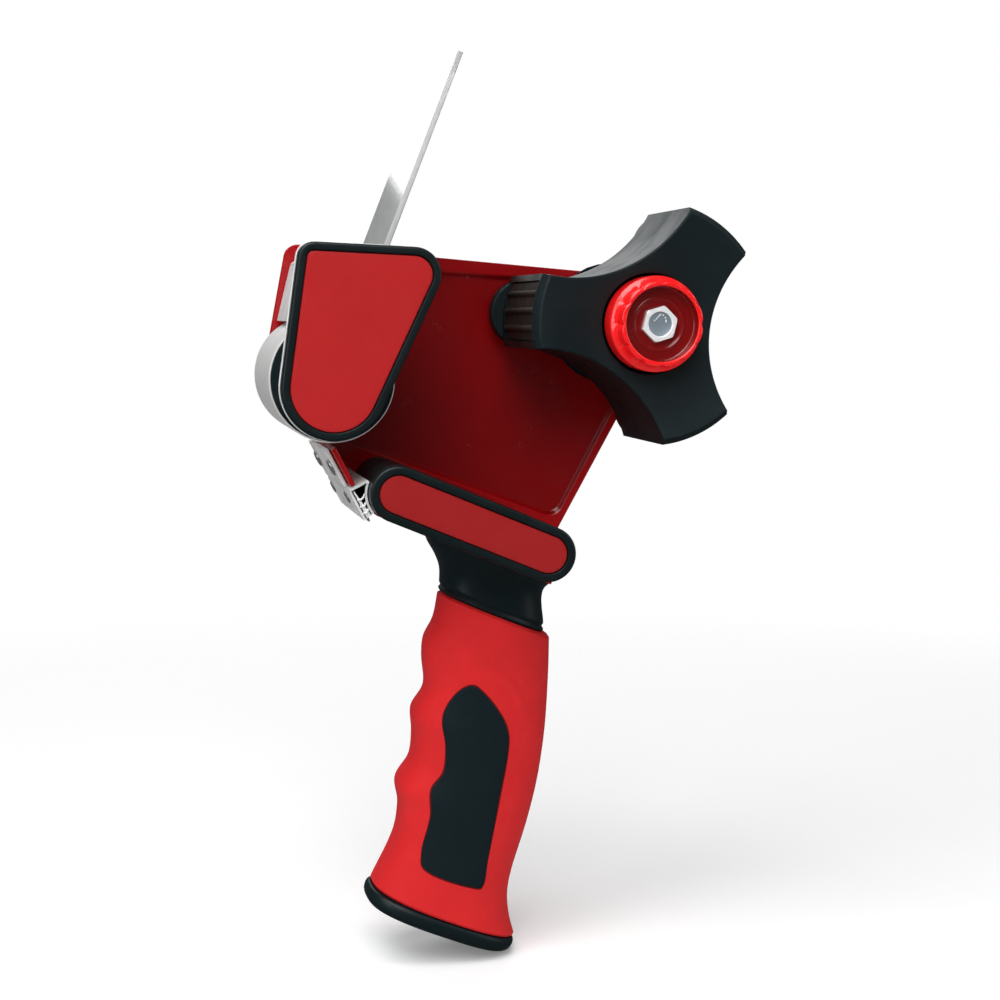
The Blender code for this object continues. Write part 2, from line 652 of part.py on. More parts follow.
def build_blade(web, foot, face):
    """A strip with a row of teeth along its lower edge, drawn flat in depth and height and stood behind the holder."""
    near, far = GUIDE_NEAR - 0.002, GUIDE_FAR - 0.0010
    count = int((far - near) / TOOTH_PITCH)
    pitch = (far - near) / count
    edge = [(near, -(web + 0.0015))]
    root = foot + 0.0006
    for index in range(count):
        edge.append((near + pitch * index, -root))
        edge.append((near + pitch * (index + 0.5), -(root + TOOTH_HEIGHT)))
    edge.append((far, -root))
    edge.append((far, -(web + 0.0015)))
    curve = bpy.data.curves.new("blade", "CURVE")
    curve.dimensions = "2D"
    curve.fill_mode = "BOTH"
    curve.extrude = BLADE_THICK / 2
    holes = [circle((depth, -(web + STUD_DROP)), STUD_RADIUS + GAP, 16) for depth in GUIDE_SCREWS]
    for outline in [edge, *holes]:
        spline = curve.splines.new("POLY")
        spline.points.add(len(outline) - 1)
        for point, (y, z) in zip(spline.points, outline):
            point.co = (y, z, 0, 1)
        spline.use_cyclic_u = True
    mesh = mesh_from_curve("blade", curve)
    out = Vector((WALL_OUT.x, 0, WALL_OUT.y))
    down = Vector((WALL_ALONG.x, 0, WALL_ALONG.y))
    side = Vector((0, 1, 0))
    turn = Matrix((side, -out, -down)).transposed()
    if turn.determinant() < 0:
        turn = Matrix((side, out, -down)).transposed()
    mesh.transform(turn.to_4x4())
    place = wall_point(0, face - BLADE_THICK / 2)
    blade = add_mesh("blade", mesh, (place.x, 0, place.y))
    make_part(blade, "steel")
    for number, depth in enumerate(GUIDE_SCREWS, 1):
        seat = face + 2 * GAP + ZINC
        shape = ((0, face - BLADE_THICK - GAP), (STUD_RADIUS, face - BLADE_THICK - GAP), (STUD_RADIUS, seat),
                 (0.0021, seat), (0.0016, seat + 0.0006), (0, seat + 0.0006))
        rivet = turned(f"blade_rivet_{number}", shape, steps=20)
        on_axis(rivet, WALL_OUT, wall_point(web + STUD_DROP, 0), depth)
        make_part(rivet, "steel")


def build_roller():
    inner = ROLLER_RADIUS - SLEEVE_THICK
    far = PLATE_Y - ROLLER_FAR_GAP
    bore = ROLLER_BUSH + GAP
    seat = ROLLER_NEAR + DISC_THICK
    core = turned("roller_core", ((bore, ROLLER_NEAR), (DISC_RADIUS - ROLLER_EDGE, ROLLER_NEAR),
                                  (DISC_RADIUS, ROLLER_NEAR + ROLLER_EDGE), (DISC_RADIUS, seat),
                                  (inner - GAP, seat), (inner - GAP, far), (bore, far)), ROLLER)
    make_part(core, "black_plastic")
    edge = ROLLER_EDGE
    sleeve = turned("roller_sleeve", ((inner, seat + GAP), (ROLLER_RADIUS - edge, seat + GAP),
                                      (ROLLER_RADIUS, seat + GAP + edge), (ROLLER_RADIUS, far - edge),
                                      (ROLLER_RADIUS - edge, far), (inner, far)), ROLLER, 48)
    make_part(sleeve, "grey_rubber")
    for name, near in (("roller_bush_near", ROLLER_NEAR), ("roller_bush_far", far - ROLLER_BUSH_LENGTH)):
        bush = tube(name, ROLLER_BUSH, AXLE_RADIUS + GAP, near, near + ROLLER_BUSH_LENGTH, ROLLER, 24)
        make_part(bush, "bronze")
    head = HEAD_NEAR - GAP
    end = PLATE_OUT + GAP
    axle = turned("roller_axle", ((0, head - AXLE_HEAD_THICK), (AXLE_HEAD_RADIUS, head - AXLE_HEAD_THICK),
                                  (AXLE_HEAD_RADIUS, head), (AXLE_RADIUS, head), (AXLE_RADIUS, end + AXLE_TAIL),
                                  (0, end + AXLE_TAIL)), ROLLER, 24)
    make_part(axle, "steel")
    nut = prism("roller_nut", [hexagon(ROLLER_NUT_FLATS, ROLLER, 0.3), circle(ROLLER, AXLE_RADIUS + GAP)], end,
                end + ROLLER_NUT_HEIGHT)
    make_part(nut, "steel")


def build_flap():
    near, far = FLAP_INSET, PLATE_Y - FLAP_INSET
    half = FLAP_SHEET / 2
    wrap = CURL_RADIUS - half
    leaf_angle = math.atan2(FLAP_TIP.y - FLAP_PIN.y, FLAP_TIP.x - FLAP_PIN.x) - math.pi / 2
    web_angle = math.atan2(FLAP_HEEL.y - FLAP_PIN.y, FLAP_HEEL.x - FLAP_PIN.x) + math.pi / 2
    turns = [leaf_angle + (web_angle - math.tau - leaf_angle) * step / 8 for step in range(9)]
    heel_out = STRIP_LEFT * (STRIP_THICK + GAP + half)
    heel = STRIP_FOOT + heel_out + STRIP_ALONG * (FLAP_HEEL - STRIP_FOOT - heel_out).dot(STRIP_ALONG)
    line = [FLAP_TIP, *(FLAP_PIN + wrap * Vector((math.cos(turn), math.sin(turn))) for turn in turns),
            heel, STRIP_FOOT + heel_out - STRIP_ALONG * 0.0024]
    leaf = prism("flap_leaf", [ribbon(line, half)], near, far)
    window = [FLAP_PIN + Vector((x, z)) for x, z in ((-0.0042, -0.0050), (0.0048, -0.0050), (0.0048, 0.0040),
                                                     (-0.0042, 0.0040))]
    boolean(leaf, prism("flap_window", [window], near + CURL_LENGTH, far - CURL_LENGTH))
    rivet_at = STRIP_FOOT - STRIP_ALONG * 0.0058
    for number, depth in enumerate((near + 0.010, far - 0.010)):
        hole = rod(f"flap_hole_{number}", RIVET_RADIUS + GAP, -0.006, 0.006)
        boolean(leaf, on_axis(hole, STRIP_LEFT, rivet_at, depth))
    make_part(leaf, "zinc")

    low = STRIP_FOOT + STRIP_LEFT * STRIP_THICK / 2 - STRIP_ALONG * STRIP_BELOW
    high = STRIP_FOOT + STRIP_LEFT * STRIP_THICK / 2 + STRIP_ALONG * STRIP_ABOVE
    strip = prism("guide_strip", [slab(low, high, STRIP_THICK / 2)], near - 0.0005, far)
    for number, depth in enumerate((near + 0.010, far - 0.010)):
        hole = rod(f"strip_hole_{number}", RIVET_RADIUS + GAP, -0.006, 0.006)
        boolean(strip, on_axis(hole, STRIP_LEFT, rivet_at, depth))
    make_part(strip, "clear_plastic")
    for number, depth in enumerate((near + 0.010, far - 0.010), 1):
        back = STRIP_THICK + 2 * GAP + FLAP_SHEET
        shape = ((0, -GAP - 0.0008), (0.0022, -GAP - 0.0008), (0.0028, -GAP), (RIVET_RADIUS, -GAP),
                 (RIVET_RADIUS, back), (0.0028, back), (0.0022, back + 0.0008), (0, back + 0.0008))
        rivet = turned(f"strip_rivet_{number}", shape, steps=20)
        on_axis(rivet, STRIP_LEFT, rivet_at, depth)
        make_part(rivet, "steel")

    head_y = HEAD_NEAR - GAP
    end = PLATE_OUT + GAP
    pin = turned("flap_pin", ((0, head_y - 0.0010), (0.0026, head_y - 0.0010), (0.0026, head_y), (PIN_RADIUS, head_y),
                              (PIN_RADIUS, end), (0.0026, end), (0.0022, end + 0.0010), (0, end + 0.0010)),
                 FLAP_PIN, 24)
    make_part(pin, "steel")
    build_spring("flap_spring", 0.0027, 0.0004, near + CURL_LENGTH + 0.001, far - CURL_LENGTH - 0.001, 6, FLAP_PIN)


def build_spring(name, radius, wire, near, far, turns, centre):
    """A coil of round wire about a line along Y."""
    curve = bpy.data.curves.new(name, "CURVE")
    curve.dimensions = "3D"
    curve.bevel_depth = wire
    curve.bevel_resolution = 1
    curve.use_fill_caps = True
    count = turns * SPRING_STEPS
    spline = curve.splines.new("POLY")
    spline.points.add(count)
    for index, point in enumerate(spline.points):
        angle = math.tau * turns * index / count
        depth = near + wire + (far - near - 2 * wire) * index / count
        point.co = (radius * math.cos(angle), radius * math.sin(angle), -depth, 1)
    mesh = mesh_from_curve(name, curve)
    spring = add_mesh(name, mesh, (centre[0], 0, centre[1]))
    make_part(spring, "steel")


def lobed(outer, hollow, pieces=7):
    """Three round lobes with hollow flanks between them, anticlockwise."""
    centre_reach = HUB_WAIST + HUB_HOLLOW
    cosine = (outer ** 2 + centre_reach ** 2 - hollow ** 2) / (2 * outer * centre_reach)
    half = math.pi / 3 - math.acos(cosine)
    tip_turn = math.asin(outer * math.sin(math.pi / 3 - half) / hollow)
    outline = []
    for lobe in range(3):
        middle = HUB_PHASE + lobe * math.tau / 3
        for step in range(pieces + 1):
            angle = middle - half + 2 * half * step / pieces
            outline.append(outer * Vector((math.cos(angle), math.sin(angle))))
        flank = middle + math.pi / 3
        centre = centre_reach * Vector((math.cos(flank), math.sin(flank)))
        for step in range(1, 2 * pieces):
            angle = flank + math.pi + tip_turn - 2 * tip_turn * step / (2 * pieces)
            outline.append(centre + hollow * Vector((math.cos(angle), math.sin(angle))))
    return outline


def build_hub():
    shell = prism("hub_shell", [lobed(CORE_RADIUS, HUB_HOLLOW)], -0.001, HUB_LENGTH)
    rim = CORE_RADIUS - HUB_LEAD
    dish = [(rim * step / 8, HUB_DISH * (1 - (step / 8) ** 2)) for step in range(9)]
    envelope = turned("hub_envelope", (*dish, (CORE_RADIUS + GAP, HUB_LEAD_LENGTH), (CORE_RADIUS + GAP, HUB_END),
                                       (0, HUB_END)),
                      steps=54)
    boolean(shell, envelope, "INTERSECT")
    for lobe in range(3):
        angle = HUB_PHASE + lobe * math.tau / 3
        centre = (LUG_REACH - LUG_RADIUS) * Vector((math.cos(angle), math.sin(angle)))
        lug = prism(f"lug_{lobe}", [circle(centre, LUG_RADIUS, 32)], HUB_END - LUG_THICK, HUB_END)
        boolean(shell, lug, "UNION")
    cavity = lobed(CORE_RADIUS - HUB_WALL, HUB_HOLLOW + HUB_WALL)
    boolean(shell, prism("hub_cavity", [cavity], HUB_DISH + HUB_WALL, HUB_END + 0.001))
    boss = turned("hub_boss", ((0, HUB_DISH), (WELL_RADIUS + 0.0015, HUB_DISH), (WELL_RADIUS + 0.0015, WELL_FLOOR + 0.002),
                               (BOSS_RADIUS, WELL_FLOOR + 0.002), (BOSS_RADIUS, HUB_END), (0, HUB_END)), steps=48)
    boolean(shell, boss, "UNION")
    boolean(shell, rod("hub_well", WELL_RADIUS, -0.01, WELL_FLOOR, steps=48))
    boolean(shell, rod("hub_bore", BUSH_RADIUS + GAP, 0, HUB_END + 0.01))
    for lobe in range(3):
        middle = HUB_PHASE + lobe * math.tau / 3
        pocket = arc_band(PAD_FOOT - GAP, CORE_RADIUS + 0.004, middle, PAD_ANGLE + GAP / CORE_RADIUS, 8)
        boolean(shell, prism(f"pad_pocket_{lobe}", [pocket], PAD_START - GAP, PAD_END + GAP))
        pad = prism(f"core_grip_{lobe + 1}", [pad_outline(middle)], PAD_START, PAD_END)
        make_part(pad, "black_rubber")
    make_part(shell, "black_plastic")
    make_part(tube("hub_bush", BUSH_RADIUS, BOLT_RADIUS + GAP, WELL_FLOOR, HUB_END, steps=24), "bronze")
    make_part(tube("friction_disc", FRICTION_DISC_RADIUS, BOLT_RADIUS + GAP, HUB_END + GAP, PLATE_Y - GAP), "black_rubber")


def arc_band(inner, outer, middle, half, pieces):
    turns = [middle - half + 2 * half * step / pieces for step in range(pieces + 1)]
    outside = [outer * Vector((math.cos(turn), math.sin(turn))) for turn in turns]
    inside = [inner * Vector((math.cos(turn), math.sin(turn))) for turn in reversed(turns)]
    return outside + inside


def pad_outline(middle):
    """A curved pad with three raised ribs."""
    pieces = 24
    outside = []
    for step in range(pieces + 1):
        turn = -PAD_ANGLE + 2 * PAD_ANGLE * step / pieces
        near_rib = abs((turn + RIB_PITCH / 2) % RIB_PITCH - RIB_PITCH / 2) < RIB_PITCH * 0.16
        radius = RIB_TOP if near_rib and abs(turn) < RIB_PITCH * 1.3 else PAD_TOP
        outside.append(radius * Vector((math.cos(middle + turn), math.sin(middle + turn))))
    inside = arc_band(PAD_FOOT, PAD_TOP, middle, PAD_ANGLE, 8)[9:]
    return outside + inside


def build_brake():
    front = KNOB_BASE_Y - KNOB_HEIGHT
    floor = front + KNOB_FLOOR
    knob = turned("tension_knob", ((0, front), (KNOB_RADIUS - KNOB_CHAMFER, front), (KNOB_RADIUS, front + KNOB_CHAMFER),
                                   (KNOB_RADIUS, front + KNOB_STEP), (KNOB_BASE_RADIUS, front + KNOB_STEP_END),
                                   (KNOB_BASE_RADIUS, KNOB_BASE_Y), (0, KNOB_BASE_Y)), steps=56)
    for flute in range(KNOB_FLUTES):
        angle = math.tau * flute / KNOB_FLUTES
        reach = KNOB_RADIUS + FLUTE_CUTTER - KNOB_FLUTE_DEPTH
        centre = reach * Vector((math.cos(angle), math.sin(angle)))
        boolean(knob, rod(f"flute_{flute}", FLUTE_CUTTER, front - CLEAR, front + KNOB_STEP, centre, 12))
    boolean(knob, rod("knob_recess", KNOB_RECESS, front - CLEAR, floor, steps=48))
    boolean(knob, prism("knob_hex", [hexagon(BOLT_HEAD_FLATS + 2 * GAP, turn=KNOB_HEX_TURN)], front,
                        floor - BOLT_HEAD_PROUD + BOLT_HEAD_HEIGHT + GAP))
    boolean(knob, rod("knob_bore", BOLT_RADIUS + GAP, front, KNOB_BASE_Y + CLEAR))
    make_part(knob, "red_plastic")

    top = floor - BOLT_HEAD_PROUD
    end = EMBOSS_OUT + BOLT_TAIL
    bolt = prism("axle_bolt", [hexagon(BOLT_HEAD_FLATS, turn=KNOB_HEX_TURN)], top, top + BOLT_HEAD_HEIGHT)
    round_top = turned("bolt_crown", ((0, top), (BOLT_CROWN, top), (BOLT_CORNER, top + BOLT_CHAMFER),
                                   (BOLT_CORNER, end), (0, end)))
    boolean(bolt, round_top, "INTERSECT")
    boolean(bolt, rod("bolt_shank", BOLT_RADIUS, top + BOLT_HEAD_HEIGHT / 2, end), "UNION")
    make_part(bolt, "steel")

    washer_near = KNOB_BASE_Y + GAP
    make_part(tube("tension_washer", TENSION_WASHER_RADIUS, BOLT_RADIUS + GAP, washer_near,
                   washer_near + TENSION_WASHER_THICK), "zinc")
    build_spring("tension_spring", TENSION_SPRING_RADIUS, TENSION_WIRE, washer_near + TENSION_WASHER_THICK + GAP,
                 WELL_FLOOR - GAP, 4, (0, 0))
    washer = EMBOSS_OUT + GAP
    make_part(tube("axle_washer", WASHER_RADIUS, BOLT_RADIUS + GAP, washer, washer + WASHER_THICK), "zinc")
    nut = washer + WASHER_THICK + GAP
    shape = [hexagon(BOLT_HEAD_FLATS, turn=0.2), circle((0, 0), BOLT_RADIUS + GAP)]
    make_part(prism("axle_nut", shape, nut, nut + AXLE_NUT_HEIGHT), "steel")


build_frame()
build_head()
build_saddle()
build_handle()
build_cap()
build_cutter()
build_roller()
build_flap()
build_hub()
build_brake()
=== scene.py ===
"""Hand-held carton tape dispenser: the finished surfaces of a tape gun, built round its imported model.

Sections are drawn in X and Z about the hub's axis, and depth runs along +Y from the hub's near rim to the
side plate. Each piece is moved to its place in the model's frame once drawn, so its object stays at the
origin.
"""

import json
import math

import bmesh
import bpy
from mathutils import Matrix, Vector


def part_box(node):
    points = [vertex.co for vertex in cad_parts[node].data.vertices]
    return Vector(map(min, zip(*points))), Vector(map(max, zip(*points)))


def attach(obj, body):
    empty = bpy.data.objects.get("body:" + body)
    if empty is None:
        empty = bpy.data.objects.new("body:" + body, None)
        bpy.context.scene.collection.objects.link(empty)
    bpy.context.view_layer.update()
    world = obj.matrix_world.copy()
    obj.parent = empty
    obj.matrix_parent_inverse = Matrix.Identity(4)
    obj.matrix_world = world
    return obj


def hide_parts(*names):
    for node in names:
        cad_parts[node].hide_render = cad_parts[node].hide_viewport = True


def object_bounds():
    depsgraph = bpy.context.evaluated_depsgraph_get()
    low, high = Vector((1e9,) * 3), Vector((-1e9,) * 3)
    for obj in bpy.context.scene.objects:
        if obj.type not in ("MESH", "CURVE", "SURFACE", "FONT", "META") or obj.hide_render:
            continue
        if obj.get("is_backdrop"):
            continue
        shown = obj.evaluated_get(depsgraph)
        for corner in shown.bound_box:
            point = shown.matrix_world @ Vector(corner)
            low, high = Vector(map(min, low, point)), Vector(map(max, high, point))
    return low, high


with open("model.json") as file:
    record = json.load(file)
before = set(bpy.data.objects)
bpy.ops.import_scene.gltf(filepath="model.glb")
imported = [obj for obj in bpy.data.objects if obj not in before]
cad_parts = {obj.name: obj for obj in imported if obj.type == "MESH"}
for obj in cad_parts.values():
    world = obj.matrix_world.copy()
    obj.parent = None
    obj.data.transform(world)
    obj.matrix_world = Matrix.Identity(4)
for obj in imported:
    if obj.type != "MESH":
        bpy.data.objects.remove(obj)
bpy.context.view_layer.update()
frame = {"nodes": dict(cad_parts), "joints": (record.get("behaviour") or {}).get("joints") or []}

bl_info = {
    "name": "Carton Tape Dispenser",
    "version": (1, 0, 0),
    "blender": (4, 5, 0),
    "location": "View3D > Sidebar > Tape",
    "description": "Builds the finished pieces of a hand-held carton tape dispenser round its packed model",
    "category": "Object",
}

PIVOTS = {joint["name"]: Vector(joint["pos_m"]) for joint in frame["joints"] if "pos_m" in joint}
ORIGIN = Vector((PIVOTS["hub_spin"].x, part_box("hub_shell")[0].y, PIVOTS["hub_spin"].z))
MM = 0.001


def span(node):
    """Lowest and highest corner of a CAD node, from the hub's axis and near rim."""
    low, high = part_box(node)
    return low - ORIGIN, high - ORIGIN


def section_point(pivot):
    place = PIVOTS[pivot] - ORIGIN
    return Vector((place.x, place.z))


ROLLER = section_point("roller_spin")
PIN = section_point("flap_swing")
GAP = 0.3 * MM
SHEET = 1.5 * MM
ZINC = 1.1 * MM
FRAME_LOW, FRAME_HIGH = span("side_frame")
PLATE_FAR = FRAME_HIGH.y
EMBOSS = 1.2 * MM
PLATE_OUT = PLATE_FAR - EMBOSS
PLATE_Y = PLATE_OUT - SHEET
FRAME_NEAR = FRAME_LOW.y
COVER_NEAR = span("head_cover_rim")[0].y
COVER_BACK = span("head_cover_rim")[1].y

# Outlines of the frame and covers as rings of circles: x, z and radius
HEAD_CIRCLES = ((-105.9, 19.3, 4.7), (-100.4, -18.7, 15.5), (-76.5, 14.5, 8.2))
PLATE_CIRCLES = ((-104.3, 20.9, 4.5), (-106.4, -8.45, 8.0), (-89.1, -56.2, 1.5), (-27.7, -77.7, 5.0),
                 (0.7, -1.0, 17.5))
PANEL_CIRCLES = ((-87.0, 13.0, 5.0), (-86.0, -33.0, 6.0), (-20.5, -59.0, 5.0), (0.7, -1.0, 13.9))
HEAD_RIM = 2.4 * MM
BAR_RIM = 2.55 * MM
BAR_LEFT = Vector((-81.5, -50.3)) * MM
BAR_RIGHT = Vector((-35.5, -69.6)) * MM
BAR_RADIUS = 8.55 * MM
SADDLE_RADIUS = 8.1 * MM
ALONG = (BAR_RIGHT - BAR_LEFT).normalized()
DOWN = Vector((ALONG.y, -ALONG.x))
RAIL = BAR_LEFT + DOWN * BAR_RADIUS
FRAME_MIDDLE = Vector((-55.0, -20.0)) * MM
FRAME_WAYS = 120
BASE_START = -2.6
BASE_END = 56.0

# Hub
CORE_RADIUS = 37.9 * MM
HUB_WAIST = 19.4 * MM
HUB_HOLLOW = 41.9 * MM
HUB_WALL = 3.0 * MM
HUB_PHASE = math.radians(53.8)
HUB_LENGTH = 46.0 * MM
HUB_END = span("hub_shell")[1].y
HUB_LEAD = 1.7 * MM
HUB_LEAD_LENGTH = 3.0 * MM
HUB_DISH = 4.2 * MM
HUB_EDGE = 0.7 * MM
HUB_WEB = 4.5 * MM
HUB_ROUND = 0.5 * MM
HUB_LIP = 0.8 * MM
DISH_STEPS = 8
LUG_RADIUS = 11.0 * MM
LUG_REACH = 42.0 * MM
LUG_THICK = 4.5 * MM
WELL_RADIUS = 15.6 * MM
WELL_FLOOR = 12.0 * MM
BOSS_RADIUS = 8.0 * MM
BOSS_WALL = 1.5 * MM
BUSH_RADIUS = 5.0 * MM
PAD_ANGLE = math.radians(14)
PAD_START = 4.5 * MM
PAD_END = 42.0 * MM
PAD_FOOT = 36.4 * MM
PAD_TOP = 37.4 * MM
RIB_TOP = 38.2 * MM
RIB_PITCH = math.radians(8.4)
RIB_SHARE = 0.17
PAD_STEPS = 84
FLANK_STEPS = 36
LOBE_HALF = math.radians(17.73)
WINDOW_HALF = PAD_ANGLE + GAP / CORE_RADIUS
RIM_RADIUS = CORE_RADIUS - HUB_LEAD

# Knob and bolt
KNOB_LOW, KNOB_HIGH = span("tension_knob")
KNOB_RADIUS = 13.1 * MM
KNOB_BASE_RADIUS = 14.8 * MM
KNOB_RECESS = 11.5 * MM
KNOB_FLOOR = 4.4 * MM
KNOB_SCALLOPS = 12
SCALLOP_DEPTH = 0.75 * MM
KNOB_BORE = 6.5 * MM
SCALLOP_STEPS = 18
BOLT_STEPS = 120
BOLT_RADIUS = 3.0 * MM
BOLT_FLATS = 10.0 * MM
BOLT_TURN = math.radians(16)
BOLT_HEAD = 4.0 * MM
THREAD_PITCH = 1.0 * MM
THREAD_LENGTH = 12.0 * MM

# Handle: millimetres down from the rail and along it
HANDLE_Y = 25.0 * MM
GRIP_TOP = 16.3
GRIP_LENGTH = 95.5
GRIP_SQUARENESS = 2.5
GRIP_FRONT = ((0, 30.3), (0.09, 32.0), (0.163, 31.5), (0.225, 33.3), (0.315, 37.4), (0.40, 36.4),
              (0.475, 39.6), (0.555, 41.8), (0.645, 40.5), (0.72, 44.4), (0.82, 46.6), (1, 45.6))
GRIP_BACK = ((0, 68.8), (0.13, 73.7), (0.29, 79.0), (0.45, 83.0), (0.62, 85.5), (0.79, 86.9), (0.87, 88.6),
             (0.94, 92.0), (1, 96.3))
GRIP_DEPTH = ((0, 15.0), (0.3, 15.4), (0.62, 16.6), (0.85, 16.4), (1, 18.0))
NECK_FRONT = ((0.3, 18.6), (2.9, 21.0), (5.7, 24.6), (8.8, 27.5), (12.4, 29.2), (16.0, 30.2))
NECK_BACK = ((0.3, 62.6), (2.9, 61.3), (5.7, 61.6), (8.8, 63.0), (12.4, 65.0), (16.0, 66.6))
NECK_DEPTH = ((0.3, 17.0), (2.9, 15.8), (5.7, 15.0), (8.8, 14.6), (12.4, 14.5), (16.0, 14.6))
INLAY = ((38.9, 48.2), (42.0, 45.2), (48.0, 43.6), (53.5, 44.0), (60.3, 47.8), (68.0, 50.0), (75.0, 48.6),
         (83.3, 51.8), (95.0, 53.8), (99.6, 57.6), (99.5, 73.0), (97.4, 76.4), (88.5, 74.4), (70.0, 70.6),
         (55.0, 67.5), (48.0, 64.4), (43.0, 58.6), (39.5, 51.9))
INLAY_MIDDLE = Vector((59.0, 70.0))
INLAY_PROUD = 0.35
NECK_START = 0.3
NECK_END = 16.0
NECK_STEPS = 48
GROOVE_AT = 14.4
GROOVE_DEPTH = 0.55
LIP = 0.4
GRIP_ROWS = 120
GRIP_LIP = 0.8
END_SHRINK = 0.9
RIDGE_HEIGHT = 0.5
RIDGE_WIDTH = 1.5
RIDGE_LINE = [Vector(point) for point in ((46.6, 31.0), (51.5, 31.9), (56.3, 33.4), (60.7, 35.3),
        (64.8, 38.2), (68.3, 42.8))]
CAP_SETBACK = 0.6
CAP_SQUARENESS = 2.8

# Flap and guide strip
FLAP_TIP = Vector((-110.9, 0.9)) * MM
FLAP_HEEL = Vector((-88.7, 13.5)) * MM
FLAP_SHEET = 0.8 * MM
CURL_RADIUS = 2.6 * MM
CURL_LENGTH = 14.0 * MM
HEEL_BEND = 1.6 * MM
HEEL_DOWN = 2.4 * MM
STRIP_FOOT = Vector((-82.0, 24.0)) * MM
STRIP_ANGLE = math.radians(68.5)
STRIP_THICK = 1.7 * MM
STRIP_ABOVE = 60.5 * MM
STRIP_BELOW = 10.5 * MM
RIVET_DOWN = 5.8 * MM
RIVET_INSET = 10.0 * MM
STRIP_ALONG = Vector((math.cos(STRIP_ANGLE), math.sin(STRIP_ANGLE)))
STRIP_LEFT = Vector((-STRIP_ALONG.y, STRIP_ALONG.x))

# Cutter
WALL_TOP = Vector((-102.0, -34.5)) * MM
WALL_ANGLE = math.radians(-62.65)
WALL_ALONG = Vector((math.cos(WALL_ANGLE), math.sin(WALL_ANGLE)))
WALL_OUT = Vector((WALL_ALONG.y, -WALL_ALONG.x))
WALL_START = 3.0 * MM
WALL_END = 15.4 * MM
GUIDE_NEAR = 3.0 * MM
GUIDE_FAR = 48.0 * MM
HOLDER_DEPTH = 9.8 * MM
HOLDER_TURN = math.radians(158)
HOLDER_SWEEP = math.radians(62)
BLADE_THICK = 0.6 * MM
TOOTH_PITCH = 1.8 * MM
TOOTH_HEIGHT = 1.4 * MM
SCREW_DOWN = 9.0 * MM
SCREW_INSET = 6.0 * MM
GROOVE_SHARES = (0.30, 0.52, 0.74)
GROOVE_BOW = 1.1 * MM
GROOVE_HALF = 0.32 * MM
BOW_STEPS = 28
BLADE_RIVET_DOWN = 3.2 * MM

# Roller and fixings
SLEEVE_THICK = 2.2 * MM
ROLLER_BORE = 4.5 * MM
ROLLER_STEPS = 128
BEARING_BORE = 2.8 * MM
BEARING_RADIUS = 4.2 * MM
AXLE_THREADS = 4
AXLE_PITCH = 1.2 * MM

# Floor and room
FLOOR_RADIUS = 1.6
FLOOR_SOLID = 0.20
FLOOR_GONE = 0.70
FLOOR_GLOW = 0.16
FLOOR_GAP = 0.2 * MM
ROOM_TINT = (0.93, 0.96, 1.0, 1)

# Camera, and the softboxes: name, place, width, height and share of the overhead light
CAMERA_LENS = 63.0
CAMERA_SENSOR = 36.0
CAMERA_PLACE = Vector((-0.1658, -0.5190, 0.0029))
CAMERA_BACK = Vector((-0.2186, -0.9701, 0.1054))
LIGHT_AIM = Vector((-0.055, 0.02, -0.05))
SOFTBOXES = (("overhead box", (-0.30, -0.35, 0.85), 0.9, 0.7, 1.0), ("left box", (-0.95, -0.60, 0.30), 0.5,
        0.8, 0.40), ("front box", (-0.25, -1.10, 0.75), 0.7, 0.5, 0.45),
        ("right strip", (0.85, -0.35, 0.30), 0.16, 0.9, 0.22), ("back box", (0.1, 0.95, 0.55), 0.8, 0.6,
        0.35))


# Outlines

def to_metres(circles):
    return [(x * MM, z * MM, radius * MM) for x, z, radius in circles]


def hull(circles, grow=0.0, pieces=16):
    """Outline round a ring of circles, anticlockwise, grown or shrunk by an offset."""
    rings = [(Vector((x, z)), radius + grow) for x, z, radius in circles]
    count = len(rings)
    normals = []
    for index in range(count):
        here, radius = rings[index]
        there, next_radius = rings[(index + 1) % count]
        line = there - here
        tilt = (radius - next_radius) / line.length
        ahead = line.normalized()
        side = Vector((ahead.y, -ahead.x))
        normals.append(ahead * tilt + side * math.sqrt(1 - tilt * tilt))
    outline = []
    for index in range(count):
        centre, radius = rings[index]
        start = math.atan2(normals[index - 1].y, normals[index - 1].x)
        sweep = (math.atan2(normals[index].y, normals[index].x) - start) % math.tau
        steps = max(2, round(pieces * sweep / (math.pi / 2)))
        for step in range(steps + 1):
            angle = start + sweep * step / steps
            outline.append(centre + radius * Vector((math.cos(angle), math.sin(angle))))
    return outline


def rounded(points, radius, closed=True, pieces=5):
    """A line of points with each corner turned into a short curve."""
    count = len(points)
    made = []
    for index, corner in enumerate(points):
        if not closed and index in (0, count - 1):
            made.append(corner)
            continue
        before = points[index - 1] - corner
        after = points[(index + 1) % count] - corner
        cut = min(radius, before.length * 0.45, after.length * 0.45)
        start = corner + before.normalized() * cut
        end = corner + after.normalized() * cut
        for step in range(pieces + 1):
            t = step / pieces
            made.append(start * (1 - t) ** 2 + corner * 2 * t * (1 - t) + end * t * t)
    return made


def slab(start, end, half):
    side = (end - start).normalized() * half
    side = Vector((side.y, -side.x))
    return [start + side, end + side, end - side, start - side]


def ribbon(points, half):
    """Outline of a strip of even thickness that follows a line of points."""
    sides = []
    for index, point in enumerate(points):
        before = points[index] - points[index - 1] if index else points[1] - points[0]
        after = points[index + 1] - point if index + 1 < len(points) else before
        first, second = before.normalized(), after.normalized()
        middle = (first + second).normalized()
        sides.append(Vector((middle.y, -middle.x)) * half / middle.dot(first))
    right = [point + side for point, side in zip(points, sides)]
    left = [point - side for point, side in zip(points, sides)]
    return right + left[::-1]


def arc(centre, radius, start, end, pieces=12):
    turns = [start + (end - start) * step / pieces for step in range(pieces + 1)]
    return [Vector(centre) + radius * Vector((math.cos(turn), math.sin(turn))) for turn in turns]


